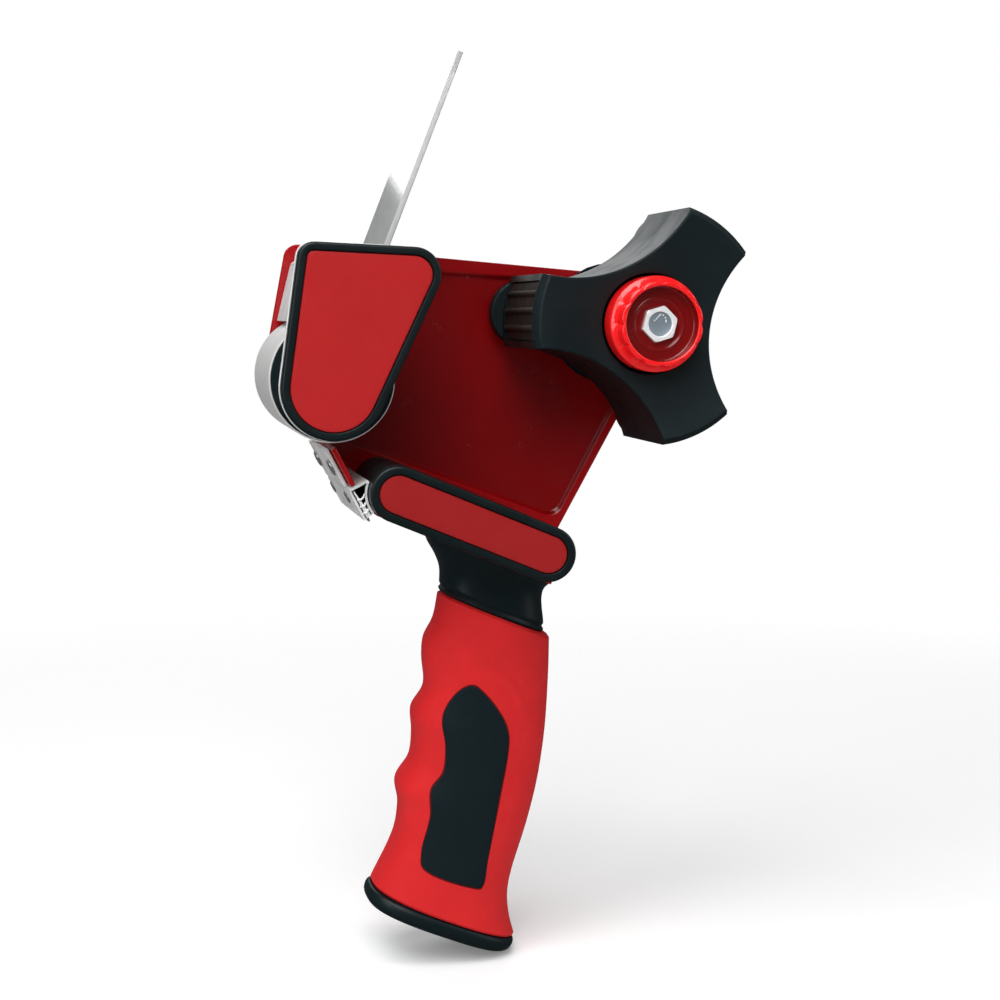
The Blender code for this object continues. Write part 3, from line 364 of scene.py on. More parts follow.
def reach(outline, centre, angle):
    """Distance from a point inside a convex outline to its edge, in one direction."""
    ahead = Vector((math.cos(angle), math.sin(angle)))
    best = 0.0
    for first, second in zip(outline, outline[1:] + outline[:1]):
        edge = second - first
        cross = ahead.x * edge.y - ahead.y * edge.x
        if abs(cross) < 1e-12:
            continue
        start = first - centre
        far = (start.x * edge.y - start.y * edge.x) / cross
        share = (start.x * ahead.y - start.y * ahead.x) / cross
        if far > 0 and -1e-6 <= share <= 1 + 1e-6:
            best = max(best, far)
    return best


def smooth_through(points, share):
    """Cubic through points of (share, value), with Catmull-Rom slopes."""
    last = len(points) - 1
    index = max(i for i in range(last) if share >= points[i][0] or i == 0)
    before = max(index - 1, 0)
    after = min(index + 2, last)
    (start, value), (end, following) = points[index], points[index + 1]
    width = end - start
    slope_in = (following - points[before][1]) / (end - points[before][0]) * width
    slope_out = (points[after][1] - value) / (points[after][0] - start) * width
    t = (share - start) / width
    blend = t * t * (3 - 2 * t)
    return (value * (1 - blend) + following * blend + slope_in * t * (1 - t) ** 2 - slope_out * t * t
            * (1 - t))


def rail(u, w):
    """Point at u along the rail and w below it, in millimetres."""
    return RAIL + (ALONG * u + DOWN * w) * MM


# Solids

def at_depth(outline, depth):
    return [Vector((point.x, depth, point.y)) for point in outline]


def pointing(direction, point, depth):
    """Placing of a turned shape whose axis runs along a direction of the section, from a point at a depth."""
    aim = Vector((direction.x, 0, direction.y))
    turn = Vector((0, 1, 0)).rotation_difference(aim)
    return Matrix.Translation((point.x, depth, point.y)) @ turn.to_matrix().to_4x4()


def upright(centre):
    return Matrix.Translation((centre[0], 0, centre[1]))


def prism(work, outline, near, far, edge=0.0, segments=3, place=None):
    """Draws a plate of an outline between two depths, with the edges of both faces rounded."""
    before = set(work.verts)
    face = work.faces.new([work.verts.new(point) for point in at_depth(outline, near)])
    made = bmesh.ops.extrude_face_region(work, geom=[face])["geom"]
    bmesh.ops.translate(work, vec=(0, far - near, 0), verts=[part for part in made
            if isinstance(part, bmesh.types.BMVert)])
    own = set(work.verts) - before
    if edge:
        rims = [rim for rim in work.edges if rim.verts[0] in own and rim.verts[1] in own
                and abs(rim.verts[0].co.y - rim.verts[1].co.y) < 1e-7]
        bmesh.ops.bevel(work, geom=rims, offset=edge, offset_type="OFFSET", affect="EDGES",
                        segments=segments, profile=0.5, material=-1, clamp_overlap=True)
    if place:
        bmesh.ops.transform(work, matrix=place, verts=list(set(work.verts) - before))
    return work


def turned(work, profile, place=None, steps=64):
    """A profile of (radius, depth) points spun about a line along Y, then put in its place."""
    before = set(work.verts)
    corners = [work.verts.new((radius, depth, 0)) for radius, depth in profile]
    edges = [work.edges.new(pair) for pair in zip(corners, corners[1:])]
    if min(radius for radius, _ in profile) > 0:
        edges.append(work.edges.new((corners[-1], corners[0])))
    bmesh.ops.spin(work, geom=corners + edges, cent=(0, 0, 0), axis=(0, 1, 0), dvec=(0, 0, 0),
                   angle=math.tau, steps=steps, use_merge=True)
    if place:
        bmesh.ops.transform(work, matrix=place, verts=list(set(work.verts) - before))
    return work


def soft_profile(points, radius, pieces=4):
    """A profile of (radius, depth) points with its corners rounded, apart from those on the axis."""
    line = [Vector(point) for point in points]
    return [tuple(point) for point in rounded(line, radius, min(x for x, _ in points) > 0, pieces)]


def skin(work, rings, closed=False):
    """Extrudes the first ring of points through all the others, which have as many points each."""
    corners = [work.verts.new(point) for point in rings[0]]
    edges = [work.edges.new(pair) for pair in zip(corners, corners[1:] + corners[:1])]
    if not closed:
        work.faces.new(corners)
    for ring in rings[1:] + (rings[:1] if closed else []):
        made = bmesh.ops.extrude_edge_only(work, edges=edges)["geom"]
        fresh = {part for part in made if isinstance(part, bmesh.types.BMVert)}
        corners = [next(edge.other_vert(corner) for edge in corner.link_edges
                        if edge.other_vert(corner) in fresh) for corner in corners]
        for corner, point in zip(corners, ring):
            corner.co = point
        edges = [edge for edge in made if isinstance(edge, bmesh.types.BMEdge)
                 and fresh.issuperset(edge.verts)]
    if not closed:
        work.faces.new(corners)
    return work


def make_piece(name, work, paints, body, slot, *replaced, crease=40):
    """Closes a drawn piece, moves it to its place in the frame, paints it and puts it on its body."""
    bmesh.ops.remove_doubles(work, verts=work.verts, dist=1e-6)
    bmesh.ops.recalc_face_normals(work, faces=work.faces)
    bmesh.ops.translate(work, vec=ORIGIN, verts=work.verts)
    mesh = bpy.data.meshes.new(name)
    work.to_mesh(mesh)
    work.free()
    mesh.shade_smooth()
    mesh.set_sharp_from_angle(angle=math.radians(crease))
    for paint in paints if isinstance(paints, tuple) else (paints,):
        mesh.materials.append(finish(paint))
    made = bpy.data.objects.new(name, mesh)
    bpy.context.scene.collection.objects.link(made)
    shading = made.modifiers.new("even shading", "WEIGHTED_NORMAL")
    shading.keep_sharp = True
    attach(made, body)
    if replaced:
        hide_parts(*replaced)
    return made


# Finishes

def both_ways(operation):
    """The method for an operator, and the one for its reflected form."""
    def plain(self, other):
        return self.maths(operation, self, other)

    def reflected(self, other):
        return self.maths(operation, other, self)

    return plain, reflected


class Wire:
    """A shader value that takes part in sums, so that an expression adds its own Math nodes."""

    def __init__(self, finish, socket):
        self.finish = finish
        self.socket = socket

    def maths(self, operation, first, second):
        return self.finish.node("ShaderNodeMath", {"operation": operation}, {0: first, 1: second})

    __add__, __radd__ = both_ways("ADD")
    __sub__, __rsub__ = both_ways("SUBTRACT")
    __mul__, __rmul__ = both_ways("MULTIPLY")


class Finish:
    """A material built from one Principled shader and the nodes that vary it over the surface."""

    def __init__(self, name):
        self.material = bpy.data.materials.new(name)
        self.material.use_nodes = True
        self.tree = self.material.node_tree
        self.tree.nodes.clear()
        self.output = self.tree.nodes.new("ShaderNodeOutputMaterial")
        self.shader = self.tree.nodes.new("ShaderNodeBsdfPrincipled")
        self.tree.links.new(self.shader.outputs[0], self.output.inputs[0])
        self.place = self.node("ShaderNodeTexCoord", {}, {}, "Object")

    def join(self, value, socket):
        if isinstance(value, Wire):
            self.tree.links.new(value.socket, socket)
        else:
            socket.default_value = value

    def node(self, kind, settings, inputs, output=0):
        """A node with its settings made first, then the values or links of its sockets; gives its output."""
        made = self.tree.nodes.new(kind)
        for setting, value in settings.items():
            if setting == "stops":
                ramp = made.color_ramp.elements
                for stop, (position, colour) in zip((ramp[0], ramp[1]), value):
                    stop.position = position
                    stop.color = (*colour, 1)
                for position, colour in value[2:]:
                    ramp.new(position).color = (*colour, 1)
            else:
                setattr(made, setting, value)
        for socket, value in inputs.items():
            self.join(value, made.inputs[socket])
        return Wire(self, made.outputs[output])

    def noise(self, size, detail=3.0, stretch=(1, 1, 1), roughness=0.55):
        """Cloudy value between 0 and 1 with blobs about as large as the size in metres."""
        place = self.place
        if stretch != (1, 1, 1):
            place = self.node("ShaderNodeMapping", {}, {"Vector": place, "Scale": stretch})
        return self.node("ShaderNodeTexNoise", {}, {"Vector": place, "Scale": 1 / size, "Detail": detail,
                "Roughness": roughness})

    def span(self, value, low, high, out_low=0.0, out_high=1.0):
        """The value brought from one range to another and held inside it."""
        return self.node("ShaderNodeMapRange", {"clamp": True}, {"Value": value, "From Min": low,
                "From Max": high, "To Min": out_low, "To Max": out_high})

    def blend(self, share, first, second):
        return self.node("ShaderNodeMix", {"data_type": "RGBA"}, {0: share,
                6: (*first, 1) if isinstance(first, tuple) else first,
                7: (*second, 1) if isinstance(second, tuple) else second}, 2)

    def bump(self, height, distance, strength=1.0):
        self.set(Normal=self.node("ShaderNodeBump", {}, {"Height": height, "Distance": distance,
                "Strength": strength}))

    def set(self, **sockets):
        for socket, value in sockets.items():
            self.join(value, self.shader.inputs[socket.replace("_", " ")])
        return self


def tint(colour, factor):
    return tuple(min(1.0, channel * factor) for channel in colour)


def enamel(name, colour):
    """Sprayed gloss enamel with a faint orange peel and a few rubbed spots."""
    made = Finish(name)
    drift = made.noise(30 * MM, 3)
    made.set(Base_Color=made.blend(drift, tint(colour, 0.86), tint(colour, 1.12)),
             Roughness=made.span(made.noise(9 * MM, 5), 0.3, 0.75, 0.16, 0.30), Coat_Weight=0.25,
             Coat_Roughness=0.08, Specular_IOR_Level=0.3)
    made.bump(made.noise(1.6 * MM, 2), 0.03 * MM, 0.5)
    return made.material


def moulded(name, colour, gloss=0.42, grain=0.35, shine=0.3):
    """Moulded plastic with a fine spark-eroded grain and handling marks in its gloss."""
    made = Finish(name)
    rubbed = made.span(made.noise(14 * MM, 6), 0.42, 0.68)
    made.set(Base_Color=made.blend(made.noise(22 * MM, 4), tint(colour, 0.82), tint(colour, 1.18)),
             Roughness=rubbed * 0.12 + gloss, Specular_IOR_Level=shine)
    made.bump(made.noise(grain * MM, 2), 0.05 * MM, 0.55)
    return made.material


def satin_panel(name, colour):
    """Pressed and painted sheet with a soft sheen."""
    made = Finish(name)
    made.set(Base_Color=made.blend(made.noise(26 * MM, 4), tint(colour, 0.90), tint(colour, 1.08)),
             Roughness=made.span(made.noise(7 * MM, 5), 0.3, 0.7, 0.42, 0.54), Specular_IOR_Level=0.25)
    made.bump(made.noise(0.8 * MM, 3), 0.03 * MM, 0.5)
    return made.material


def gloss_plastic(name, colour):
    """Polished plastic under a clear coat, with a faint random tone."""
    made = Finish(name)
    made.set(Base_Color=made.blend(made.noise(12 * MM, 3), tint(colour, 0.9), tint(colour, 1.1)),
             Roughness=made.span(made.noise(5 * MM, 5), 0.35, 0.7, 0.18, 0.30), Coat_Weight=0.4,
             Coat_Roughness=0.08)
    made.bump(made.noise(2.4 * MM, 2), 0.02 * MM, 0.4)
    return made.material


def rubber(name, colour, grain=0.5):
    """Soft-touch rubber: matt, finely stippled, paler where hands dry it out."""
    made = Finish(name)
    worn = made.span(made.noise(20 * MM, 5), 0.45, 0.75)
    made.set(Base_Color=made.blend(worn, colour, tint(colour, 1.16)), Roughness=made.span(made.noise(4 * MM,
            4), 0.3, 0.7, 0.62, 0.78), Specular_IOR_Level=0.15)
    made.bump(made.noise(grain * MM, 3), 0.06 * MM, 0.6)
    return made.material


def zinc(name, colour, streak=(1, 1, 9)):
    """Zinc-plated sheet: dull silver with a faint green cast, rolling streaks and cloudy passivation."""
    made = Finish(name)
    cloud = made.noise(11 * MM, 6)
    lines = made.noise(3.5 * MM, 4, streak)
    shade = made.blend(made.span(cloud, 0.3, 0.7), tint(colour, 0.82), tint(colour, 1.12))
    shade = made.blend(made.span(lines, 0.52, 0.8, 0, 0.35), shade, tint(colour, 0.7))
    made.set(Base_Color=shade, Metallic=0.3, Roughness=made.span(cloud * 0.5 + lines * 0.5, 0.3, 0.7, 0.30,
            0.48))
    made.bump(lines, 0.02 * MM, 0.5)
    return made.material


def bright_steel(name, colour, rough=0.2, streak=(1, 1, 1), grain=1.2, metallic=0.9):
    """Turned or ground steel with fine tool marks."""
    made = Finish(name)
    marks = made.noise(grain * MM, 3, streak)
    made.set(Base_Color=made.blend(made.noise(6 * MM, 5), tint(colour, 0.88), tint(colour, 1.06)),
             Metallic=metallic, Roughness=made.span(marks, 0.3, 0.7, rough, rough + 0.16))
    made.bump(marks, 0.02 * MM, 0.45)
    return made.material


def turned_rubber(name, colour):
    """Roller sleeve with the fine rings left by grinding it round its axis."""
    made = Finish(name)
    rings = made.node("ShaderNodeTexWave", {"wave_type": "BANDS", "bands_direction": "Y"},
                      {"Vector": made.place, "Scale": 260.0, "Distortion": 1.2, "Detail": 3.0})
    made.set(Base_Color=made.blend(made.noise(8 * MM, 5), tint(colour, 0.93), tint(colour, 1.04)),
             Roughness=made.span(made.noise(3 * MM, 4), 0.3, 0.7, 0.5, 0.66))
    made.bump(rings, 0.04 * MM, 0.4)
    return made.material


def clear_sheet(name, colour):
    """Clear stiff plastic with hairline scuffs."""
    made = Finish(name)
    scuffs = made.noise(1.5 * MM, 5, (1, 7, 1))
    made.set(Base_Color=(*colour, 1), Transmission_Weight=0.45, IOR=1.49,
             Roughness=made.span(scuffs, 0.52, 0.75, 0.05, 0.24))
    made.bump(scuffs, 0.01 * MM, 0.35)
    return made.material


FINISHES = {}


def finish(name):
    """The named finish, made the first time that a piece asks for it, in the colours of the panel."""
    if name in FINISHES:
        return FINISHES[name]
    paint = bpy.context.scene.tape_gun_colours
    recipes = {
        "frame enamel": (enamel, tuple(paint.enamel)),
        # the frame enamel darkened for the pressed recess: painted shade
        "panel enamel": (enamel, tint(tuple(paint.enamel), 0.70)),
        "cover panel": (satin_panel, tuple(paint.panel)),
        "bar panel": (satin_panel, tint(tuple(paint.panel), 0.74)),
        "cover rim": (moulded, (0.004, 0.009, 0.010), 0.34, 0.5),
        "moulded black": (moulded, (0.003, 0.010, 0.012), 0.36, 0.4, 0.26),
        "hub plastic": (moulded, tuple(paint.hub), 0.46, 0.55, 0.24),
        "knob gloss": (gloss_plastic, tuple(paint.knob)),
        # the knob's red darkened for its sunk recess: painted shade
        "knob floor": (gloss_plastic, tint(tuple(paint.knob), 0.24)),
        "red rubber": (rubber, tuple(paint.grip), 0.55),
        # the grip rubber darkened for the seam round each inlay: painted shade
        "dark red rubber": (rubber, tint(tuple(paint.grip), 0.18), 0.5),
        "black rubber": (rubber, (0.003, 0.010, 0.013), 0.45),
        "core grip rubber": (rubber, (0.022, 0.017, 0.014), 0.5),
        "zinc plate": (zinc, (0.93, 0.95, 0.92)),
        "steel": (bright_steel, (0.68, 0.69, 0.70)),
        "head steel": (bright_steel, (0.97, 0.99, 0.99), 0.34, (1, 1, 1), 1.2, 0.25),
        "sunk steel": (bright_steel, (0.36, 0.44, 0.50), 0.30, (1, 1, 1), 0.5, 0.6),
        "blade steel": (bright_steel, (0.63, 0.65, 0.66), 0.14, (1, 1, 14), 0.9),
        "spring steel": (bright_steel, (0.36, 0.36, 0.35), 0.26),
        "bronze": (bright_steel, (0.45, 0.29, 0.13), 0.34),
        "roller rubber": (turned_rubber, tuple(paint.roller)),
        "clear sheet": (clear_sheet, (0.78, 0.80, 0.785)),
    }
    recipe, *settings = recipes[name]
    FINISHES[name] = recipe(name, *settings)
    return FINISHES[name]


# Hub

def lobed(offset, shares):
    """Three round lobes with hollow flanks between them, anticlockwise and moved inwards by an offset."""
    outer, hollow = CORE_RADIUS - offset, HUB_HOLLOW + offset
    centre_reach = HUB_WAIST + HUB_HOLLOW
    cosine = (outer ** 2 + centre_reach ** 2 - hollow ** 2) / (2 * outer * centre_reach)
    half = math.pi / 3 - math.acos(cosine)
    tip_turn = math.asin(outer * math.sin(math.pi / 3 - half) / hollow)
    outline = []
    for lobe in range(3):
        middle = HUB_PHASE + lobe * math.tau / 3
        outline += [outer * Vector((math.cos(middle + half * share), math.sin(middle + half * share)))
                    for share in shares]
        flank = middle + math.pi / 3
        centre = centre_reach * Vector((math.cos(flank), math.sin(flank)))
        for step in range(1, FLANK_STEPS):
            angle = flank + math.pi + tip_turn - 2 * tip_turn * step / FLANK_STEPS
            outline.append(centre + hollow * Vector((math.cos(angle), math.sin(angle))))
    return outline


def lobe_shares():
    """Places along a lobe's arc from -1 to 1, with one at each side of the window."""
    window = WINDOW_HALF / LOBE_HALF
    inside = [-window + 2 * window * step / 16 for step in range(17)]
    side = (1 + window) / 2
    return [-1, -side, *inside, side, 1]


def dish(radius):
    return HUB_DISH * (1 - (min(radius, RIM_RADIUS) / RIM_RADIUS) ** 2)


def held(point, most):
    return point * min(1.0, most / point.length)


def hub_rings():
    """Rings of the hub's skin, from the bore's near end over the outside and back through the hollow."""
    shares = lobe_shares()
    outline = lobed(0, shares)
    ways = [point.normalized() for point in outline]

    def round_ring(radius, depth):
        return [Vector((way.x * radius, depth, way.y * radius)) for way in ways]

    def edge_ring(offset, down, most):
        points = [held(point, most) for point in lobed(offset, shares)]
        return [Vector((point.x, dish(point.length) + down, point.y)) for point in points]

    def wall_ring(offset, depth):
        return [Vector((point.x, max(depth, dish(point.length) + HUB_EDGE * 1.3), point.y))
                for point in lobed(offset, shares)]

    def boss_ring(radius, depth, offset):
        points = [way * min(radius, wall.length - 0.2 * MM) for way, wall in zip(ways, lobed(offset, shares))]
        return [Vector((point.x, depth, point.y)) for point in points]

    bore = BUSH_RADIUS + GAP
    lip = WELL_RADIUS + HUB_LIP
    rings = [round_ring(bore, WELL_FLOOR), round_ring(WELL_RADIUS - 0.6 * MM, WELL_FLOOR),
             round_ring(WELL_RADIUS, WELL_FLOOR - 0.6 * MM), round_ring(WELL_RADIUS, dish(lip) + 0.8 * MM),
             round_ring(WELL_RADIUS + 0.2 * MM, dish(lip) + 0.25 * MM), round_ring(lip, dish(lip))]
    inner = [way * lip for way in ways]
    outer = [held(point, RIM_RADIUS - 0.6 * MM) for point in lobed(HUB_EDGE, shares)]
    for step in range(1, DISH_STEPS):
        points = [first.lerp(last, step / DISH_STEPS) for first, last in zip(inner, outer)]
        rings.append([Vector((point.x, dish(point.length), point.y)) for point in points])
    rings += [edge_ring(HUB_EDGE, 0, RIM_RADIUS - 0.6 * MM), edge_ring(0.42 * MM, 0.04 * MM,
            RIM_RADIUS - 0.3 * MM), edge_ring(0.18 * MM, 0.2 * MM, RIM_RADIUS - 0.05 * MM),
            edge_ring(0.04 * MM, 0.42 * MM, RIM_RADIUS + 0.15 * MM), edge_ring(0, HUB_EDGE,
            RIM_RADIUS + HUB_LEAD * HUB_EDGE / HUB_LEAD_LENGTH), wall_ring(0, HUB_LEAD_LENGTH),
            wall_ring(0, PAD_START - GAP), wall_ring(0, PAD_END + GAP),
            wall_ring(0, HUB_LENGTH - HUB_ROUND), wall_ring(0.15 * MM, HUB_LENGTH - 0.15 * MM),
            wall_ring(HUB_ROUND, HUB_LENGTH), wall_ring(HUB_WALL - HUB_ROUND, HUB_LENGTH),
            wall_ring(HUB_WALL, HUB_LENGTH - 0.5 * MM), wall_ring(HUB_WALL, WELL_FLOOR - HUB_WEB),
            wall_ring(HUB_WALL + 0.4 * MM, WELL_FLOOR - 4.8 * MM)]
    boss = WELL_RADIUS + BOSS_WALL
    rings += [boss_ring(boss, WELL_FLOOR - 4.8 * MM, HUB_WALL + 0.4 * MM),
              boss_ring(boss, WELL_FLOOR + 1.5 * MM, HUB_WALL), boss_ring(boss - 0.5 * MM,
            WELL_FLOOR + 2 * MM, HUB_WALL), round_ring(BOSS_RADIUS + 0.6 * MM, WELL_FLOOR + 2 * MM),
            round_ring(BOSS_RADIUS, WELL_FLOOR + 2.6 * MM), round_ring(BOSS_RADIUS, HUB_END - 0.4 * MM),
            round_ring(BOSS_RADIUS - 0.4 * MM, HUB_END), round_ring(bore, HUB_END)]
    return rings


def build_hub_shell():
    work = bmesh.new()
    skin(work, hub_rings(), closed=True)
    bmesh.ops.remove_doubles(work, verts=work.verts, dist=1e-6)
    bmesh.ops.recalc_face_normals(work, faces=work.faces)
    window = []
    for face in work.faces:
        middle = face.calc_center_median()
        turn = math.atan2(middle.z, middle.x)
        offset = min(abs((turn - HUB_PHASE - lobe * math.tau / 3 + math.pi) % math.tau - math.pi)
                     for lobe in range(3))
        outside = Vector((middle.x, middle.z)).length > CORE_RADIUS - 0.3 * MM
        if outside and offset < WINDOW_HALF and PAD_START < middle.y < PAD_END:
            window.append(face)
    made = bmesh.ops.extrude_face_region(work, geom=window)["geom"]
    for corner in made:
        if isinstance(corner, bmesh.types.BMVert):
            radius = Vector((corner.co.x, corner.co.z)).length
            share = (PAD_FOOT - GAP) / radius
            corner.co = (corner.co.x * share, corner.co.y, corner.co.z * share)
    bmesh.ops.delete(work, geom=[face for face in window if face.is_valid], context="FACES_ONLY")
    for lobe in range(3):
        angle = HUB_PHASE + lobe * math.tau / 3
        centre = (LUG_REACH - LUG_RADIUS) * Vector((math.cos(angle), math.sin(angle)))
        thick = HUB_END - LUG_THICK
        puck = soft_profile(((0, thick), (LUG_RADIUS, thick), (LUG_RADIUS, HUB_END), (0, HUB_END)), 0.9 * MM)
        turned(work, puck, upright(centre), 72)
    make_piece("hub_moulding", work, "hub plastic", "hub", "hub_plastic", "hub_shell")


def pad_outline(middle):
    """A curved pad with three rounded ribs."""
    outside = []
    for step in range(PAD_STEPS + 1):
        turn = -PAD_ANGLE + 2 * PAD_ANGLE * step / PAD_STEPS
        rib = abs((turn + RIB_PITCH / 2) % RIB_PITCH - RIB_PITCH / 2) / (RIB_PITCH * RIB_SHARE)
        proud = (RIB_TOP - PAD_TOP) * math.sqrt(max(0.0,
                1 - rib * rib)) if abs(turn) < RIB_PITCH * 1.3 else 0.0
        outside.append((PAD_TOP + proud) * Vector((math.cos(middle + turn), math.sin(middle + turn))))
    return outside + arc((0, 0), PAD_FOOT, middle + PAD_ANGLE, middle - PAD_ANGLE, 12)


def build_core_grips():
    for lobe in range(3):
        make_piece(f"core_grip_pad_{lobe + 1}", prism(bmesh.new(), pad_outline(HUB_PHASE + lobe * math.tau
                / 3), PAD_START, PAD_END, 0.15 * MM, 2), "core grip rubber", "hub", "black_grip",
                f"core_grip_{lobe + 1}")


# Brake knob and axle

def wheel_ring(count, radius, depth):
    """A ring of points at one depth; the radius is a number or a function of the angle."""
    turns = [math.tau * index / count for index in range(count)]
    reaches = [radius(turn) if callable(radius) else radius for turn in turns]
    return [Vector((reach * math.cos(turn), depth, reach * math.sin(turn)))
            for turn, reach in zip(turns, reaches)]


def build_knob():
    sizes = bpy.context.scene.tape_gun_sizes
    front, back = KNOB_LOW.y, KNOB_HIGH.y
    floor = front + KNOB_FLOOR
    count = KNOB_SCALLOPS * SCALLOP_STEPS

    def scalloped(inset, share=1.0):
        return lambda turn: (KNOB_RADIUS - inset - share * sizes.scallop
                             * (1 - abs(math.sin(KNOB_SCALLOPS / 2 * turn))) ** 2)

    steps = ((KNOB_BORE, floor), (7.6 * MM, floor), (7.85 * MM, floor - 0.22 * MM),
             (8.25 * MM, floor - 0.22 * MM), (8.5 * MM, floor), (KNOB_RECESS - 0.5 * MM, floor),
             (KNOB_RECESS - 0.12 * MM, floor - 0.15 * MM), (KNOB_RECESS, floor - 0.5 * MM),
             (KNOB_RECESS, front + 0.5 * MM), (KNOB_RECESS + 0.12 * MM, front + 0.15 * MM),
             (KNOB_RECESS + 0.4 * MM, front), (scalloped(0.62 * MM, 0.8), front),
             (scalloped(0.3 * MM, 0.9), front + 0.1 * MM), (scalloped(0.08 * MM), front + 0.32 * MM),
             (scalloped(0), front + 0.65 * MM), (scalloped(0), front + 4.3 * MM),
             (scalloped(-0.15 * MM, 0.9), front + 4.9 * MM), (scalloped(-0.7 * MM, 0.4), front + 5.6 * MM),
             (KNOB_BASE_RADIUS - 0.5 * MM, front + 6.1 * MM), (KNOB_BASE_RADIUS - 0.1 * MM,
            front + 6.3 * MM), (KNOB_BASE_RADIUS, front + 6.7 * MM), (KNOB_BASE_RADIUS, back - 0.4 * MM),
            (KNOB_BASE_RADIUS - 0.4 * MM, back))
    work = bmesh.new()
    skin(work, [wheel_ring(count, radius, depth) for radius, depth in steps])
    # faces of the recess walls and floor take a much darker copy of the knob's red: painted shade
    for face in work.faces:
        middle = face.calc_center_median()
        sunk = middle.y > front + 1.2 * MM and math.hypot(middle.x, middle.z) < KNOB_RECESS + 0.05 * MM
        face.material_index = int(sunk and middle.y < back - 0.1 * MM)
    make_piece("brake_knob", work, ("knob gloss", "knob floor"), "knob", "gloss_red", "tension_knob",
               crease=50)


def hex_radius(flats, turn0):
    return lambda turn: flats / 2 / math.cos((turn - turn0) % (math.pi / 3) - math.pi / 6)


def build_axle_bolt():
    top = span("axle_bolt")[0].y
    end = span("axle_bolt")[1].y
    flats = hex_radius(BOLT_FLATS, BOLT_TURN)

    def chamfered(most):
        return lambda turn: min(flats(turn), most)

    under = top + BOLT_HEAD
    steps = [(0.6 * MM, top + 0.30 * MM), (3.55 * MM, top + 0.30 * MM), (3.75 * MM, top + 0.2 * MM),
             (3.95 * MM, top), (4.75 * MM, top), (chamfered(5.35 * MM), top + 0.02 * MM),
             (chamfered(5.55 * MM), top + 0.12 * MM), (chamfered(5.7 * MM), top + 0.28 * MM),
             (flats, top + 0.42 * MM), (flats, under - 0.15 * MM), (chamfered(5.6 * MM), under),
             (BOLT_RADIUS, under)]
    start = end - THREAD_LENGTH
    turns = int((end - start) / THREAD_PITCH) - 1
    steps.append((BOLT_RADIUS, start))
    for thread in range(turns):
        depth = start + thread * THREAD_PITCH
        steps += [(BOLT_RADIUS - 0.45 * MM, depth + 0.45 * MM), (BOLT_RADIUS, depth + 0.9 * MM)]
    steps.append((BOLT_RADIUS - 0.8 * MM, end))
    work = bmesh.new()
    skin(work, [wheel_ring(BOLT_STEPS, radius, depth) for radius, depth in steps])
    for face in work.faces:
        middle = face.calc_center_median()
        face.material_index = int(middle.y < top + 0.31 * MM and math.hypot(middle.x, middle.z) < 3.8 * MM
                and middle.y > top + 0.15 * MM)
    for speck in range(9):
        angle = 0.35 + speck * 0.27 + 0.1 * math.sin(speck * 5)
        reach_out = (2.0 + 0.9 * math.sin(speck * 2.7) ** 2) * MM
        dot = soft_profile(((0, top + 0.12 * MM), (0.22 * MM, top + 0.12 * MM),
                            (0.26 * MM, top + 0.35 * MM), (0, top + 0.35 * MM)), 0.05 * MM, 2)
        turned(work, dot, upright((reach_out * math.cos(angle), reach_out * math.sin(angle))), 10)
    make_piece("brake_axle_bolt", work, ("head steel", "sunk steel"), "knob", "steel", "axle_bolt",
               crease=28)


def nut_piece(work, flats, turn0, centre, near, far, bore):
    """A hexagon nut with both faces chamfered and a plain bore."""
    across = hex_radius(flats, turn0)
    corner = flats / math.sqrt(3)

    def chamfered(cut):
        return lambda turn: min(across(turn), corner - cut)

    steps = [(bore, near), (flats / 2 - 0.3 * MM, near), (chamfered(0.35 * MM), near + 0.35 * MM),
             (across, near + 0.7 * MM), (across, far - 0.7 * MM), (chamfered(0.35 * MM), far - 0.35 * MM),
             (flats / 2 - 0.3 * MM, far), (bore, far)]
    before = set(work.verts)
    skin(work, [wheel_ring(96, radius, depth) for radius, depth in steps], closed=True)
    bmesh.ops.translate(work, vec=(centre[0], 0, centre[1]), verts=list(set(work.verts) - before))


def ring_profile(inner, outer, near, far, edge=0.2 * MM):
    return soft_profile(((inner, near), (outer, near), (outer, far), (inner, far)), edge, 3)


# Covers and side frame

def cover_rings(circles, rim):
    """A rounded rim round a shallow pocket, from the pocket's floor to the back."""
    near, back = COVER_NEAR, COVER_BACK
    steps = ((-rim - 0.2 * MM, near + 1.3 * MM), (-rim, near + 1.25 * MM), (-rim, near + 0.35 * MM),
             (-rim + 0.1 * MM, near + 0.12 * MM), (-rim + 0.35 * MM, near), (-0.85 * MM, near),
             (-0.42 * MM, near + 0.1 * MM), (-0.14 * MM, near + 0.36 * MM), (0, near + 0.8 * MM),
             (0, back - 0.4 * MM), (-0.12 * MM, back - 0.12 * MM), (-0.4 * MM, back))
    return [at_depth(hull(circles, grow), depth) for grow, depth in steps]


def panel_rings(circles, rim):
    top = COVER_NEAR + 0.4 * MM
    edge = -rim - 0.22 * MM
    steps = ((edge - 1.6 * MM, top), (edge - 0.5 * MM, top + 0.02 * MM),
             (edge - 0.15 * MM, top + 0.12 * MM), (edge, top + 0.35 * MM), (edge, top + 0.8 * MM))
    return [at_depth(hull(circles, grow), depth) for grow, depth in steps]


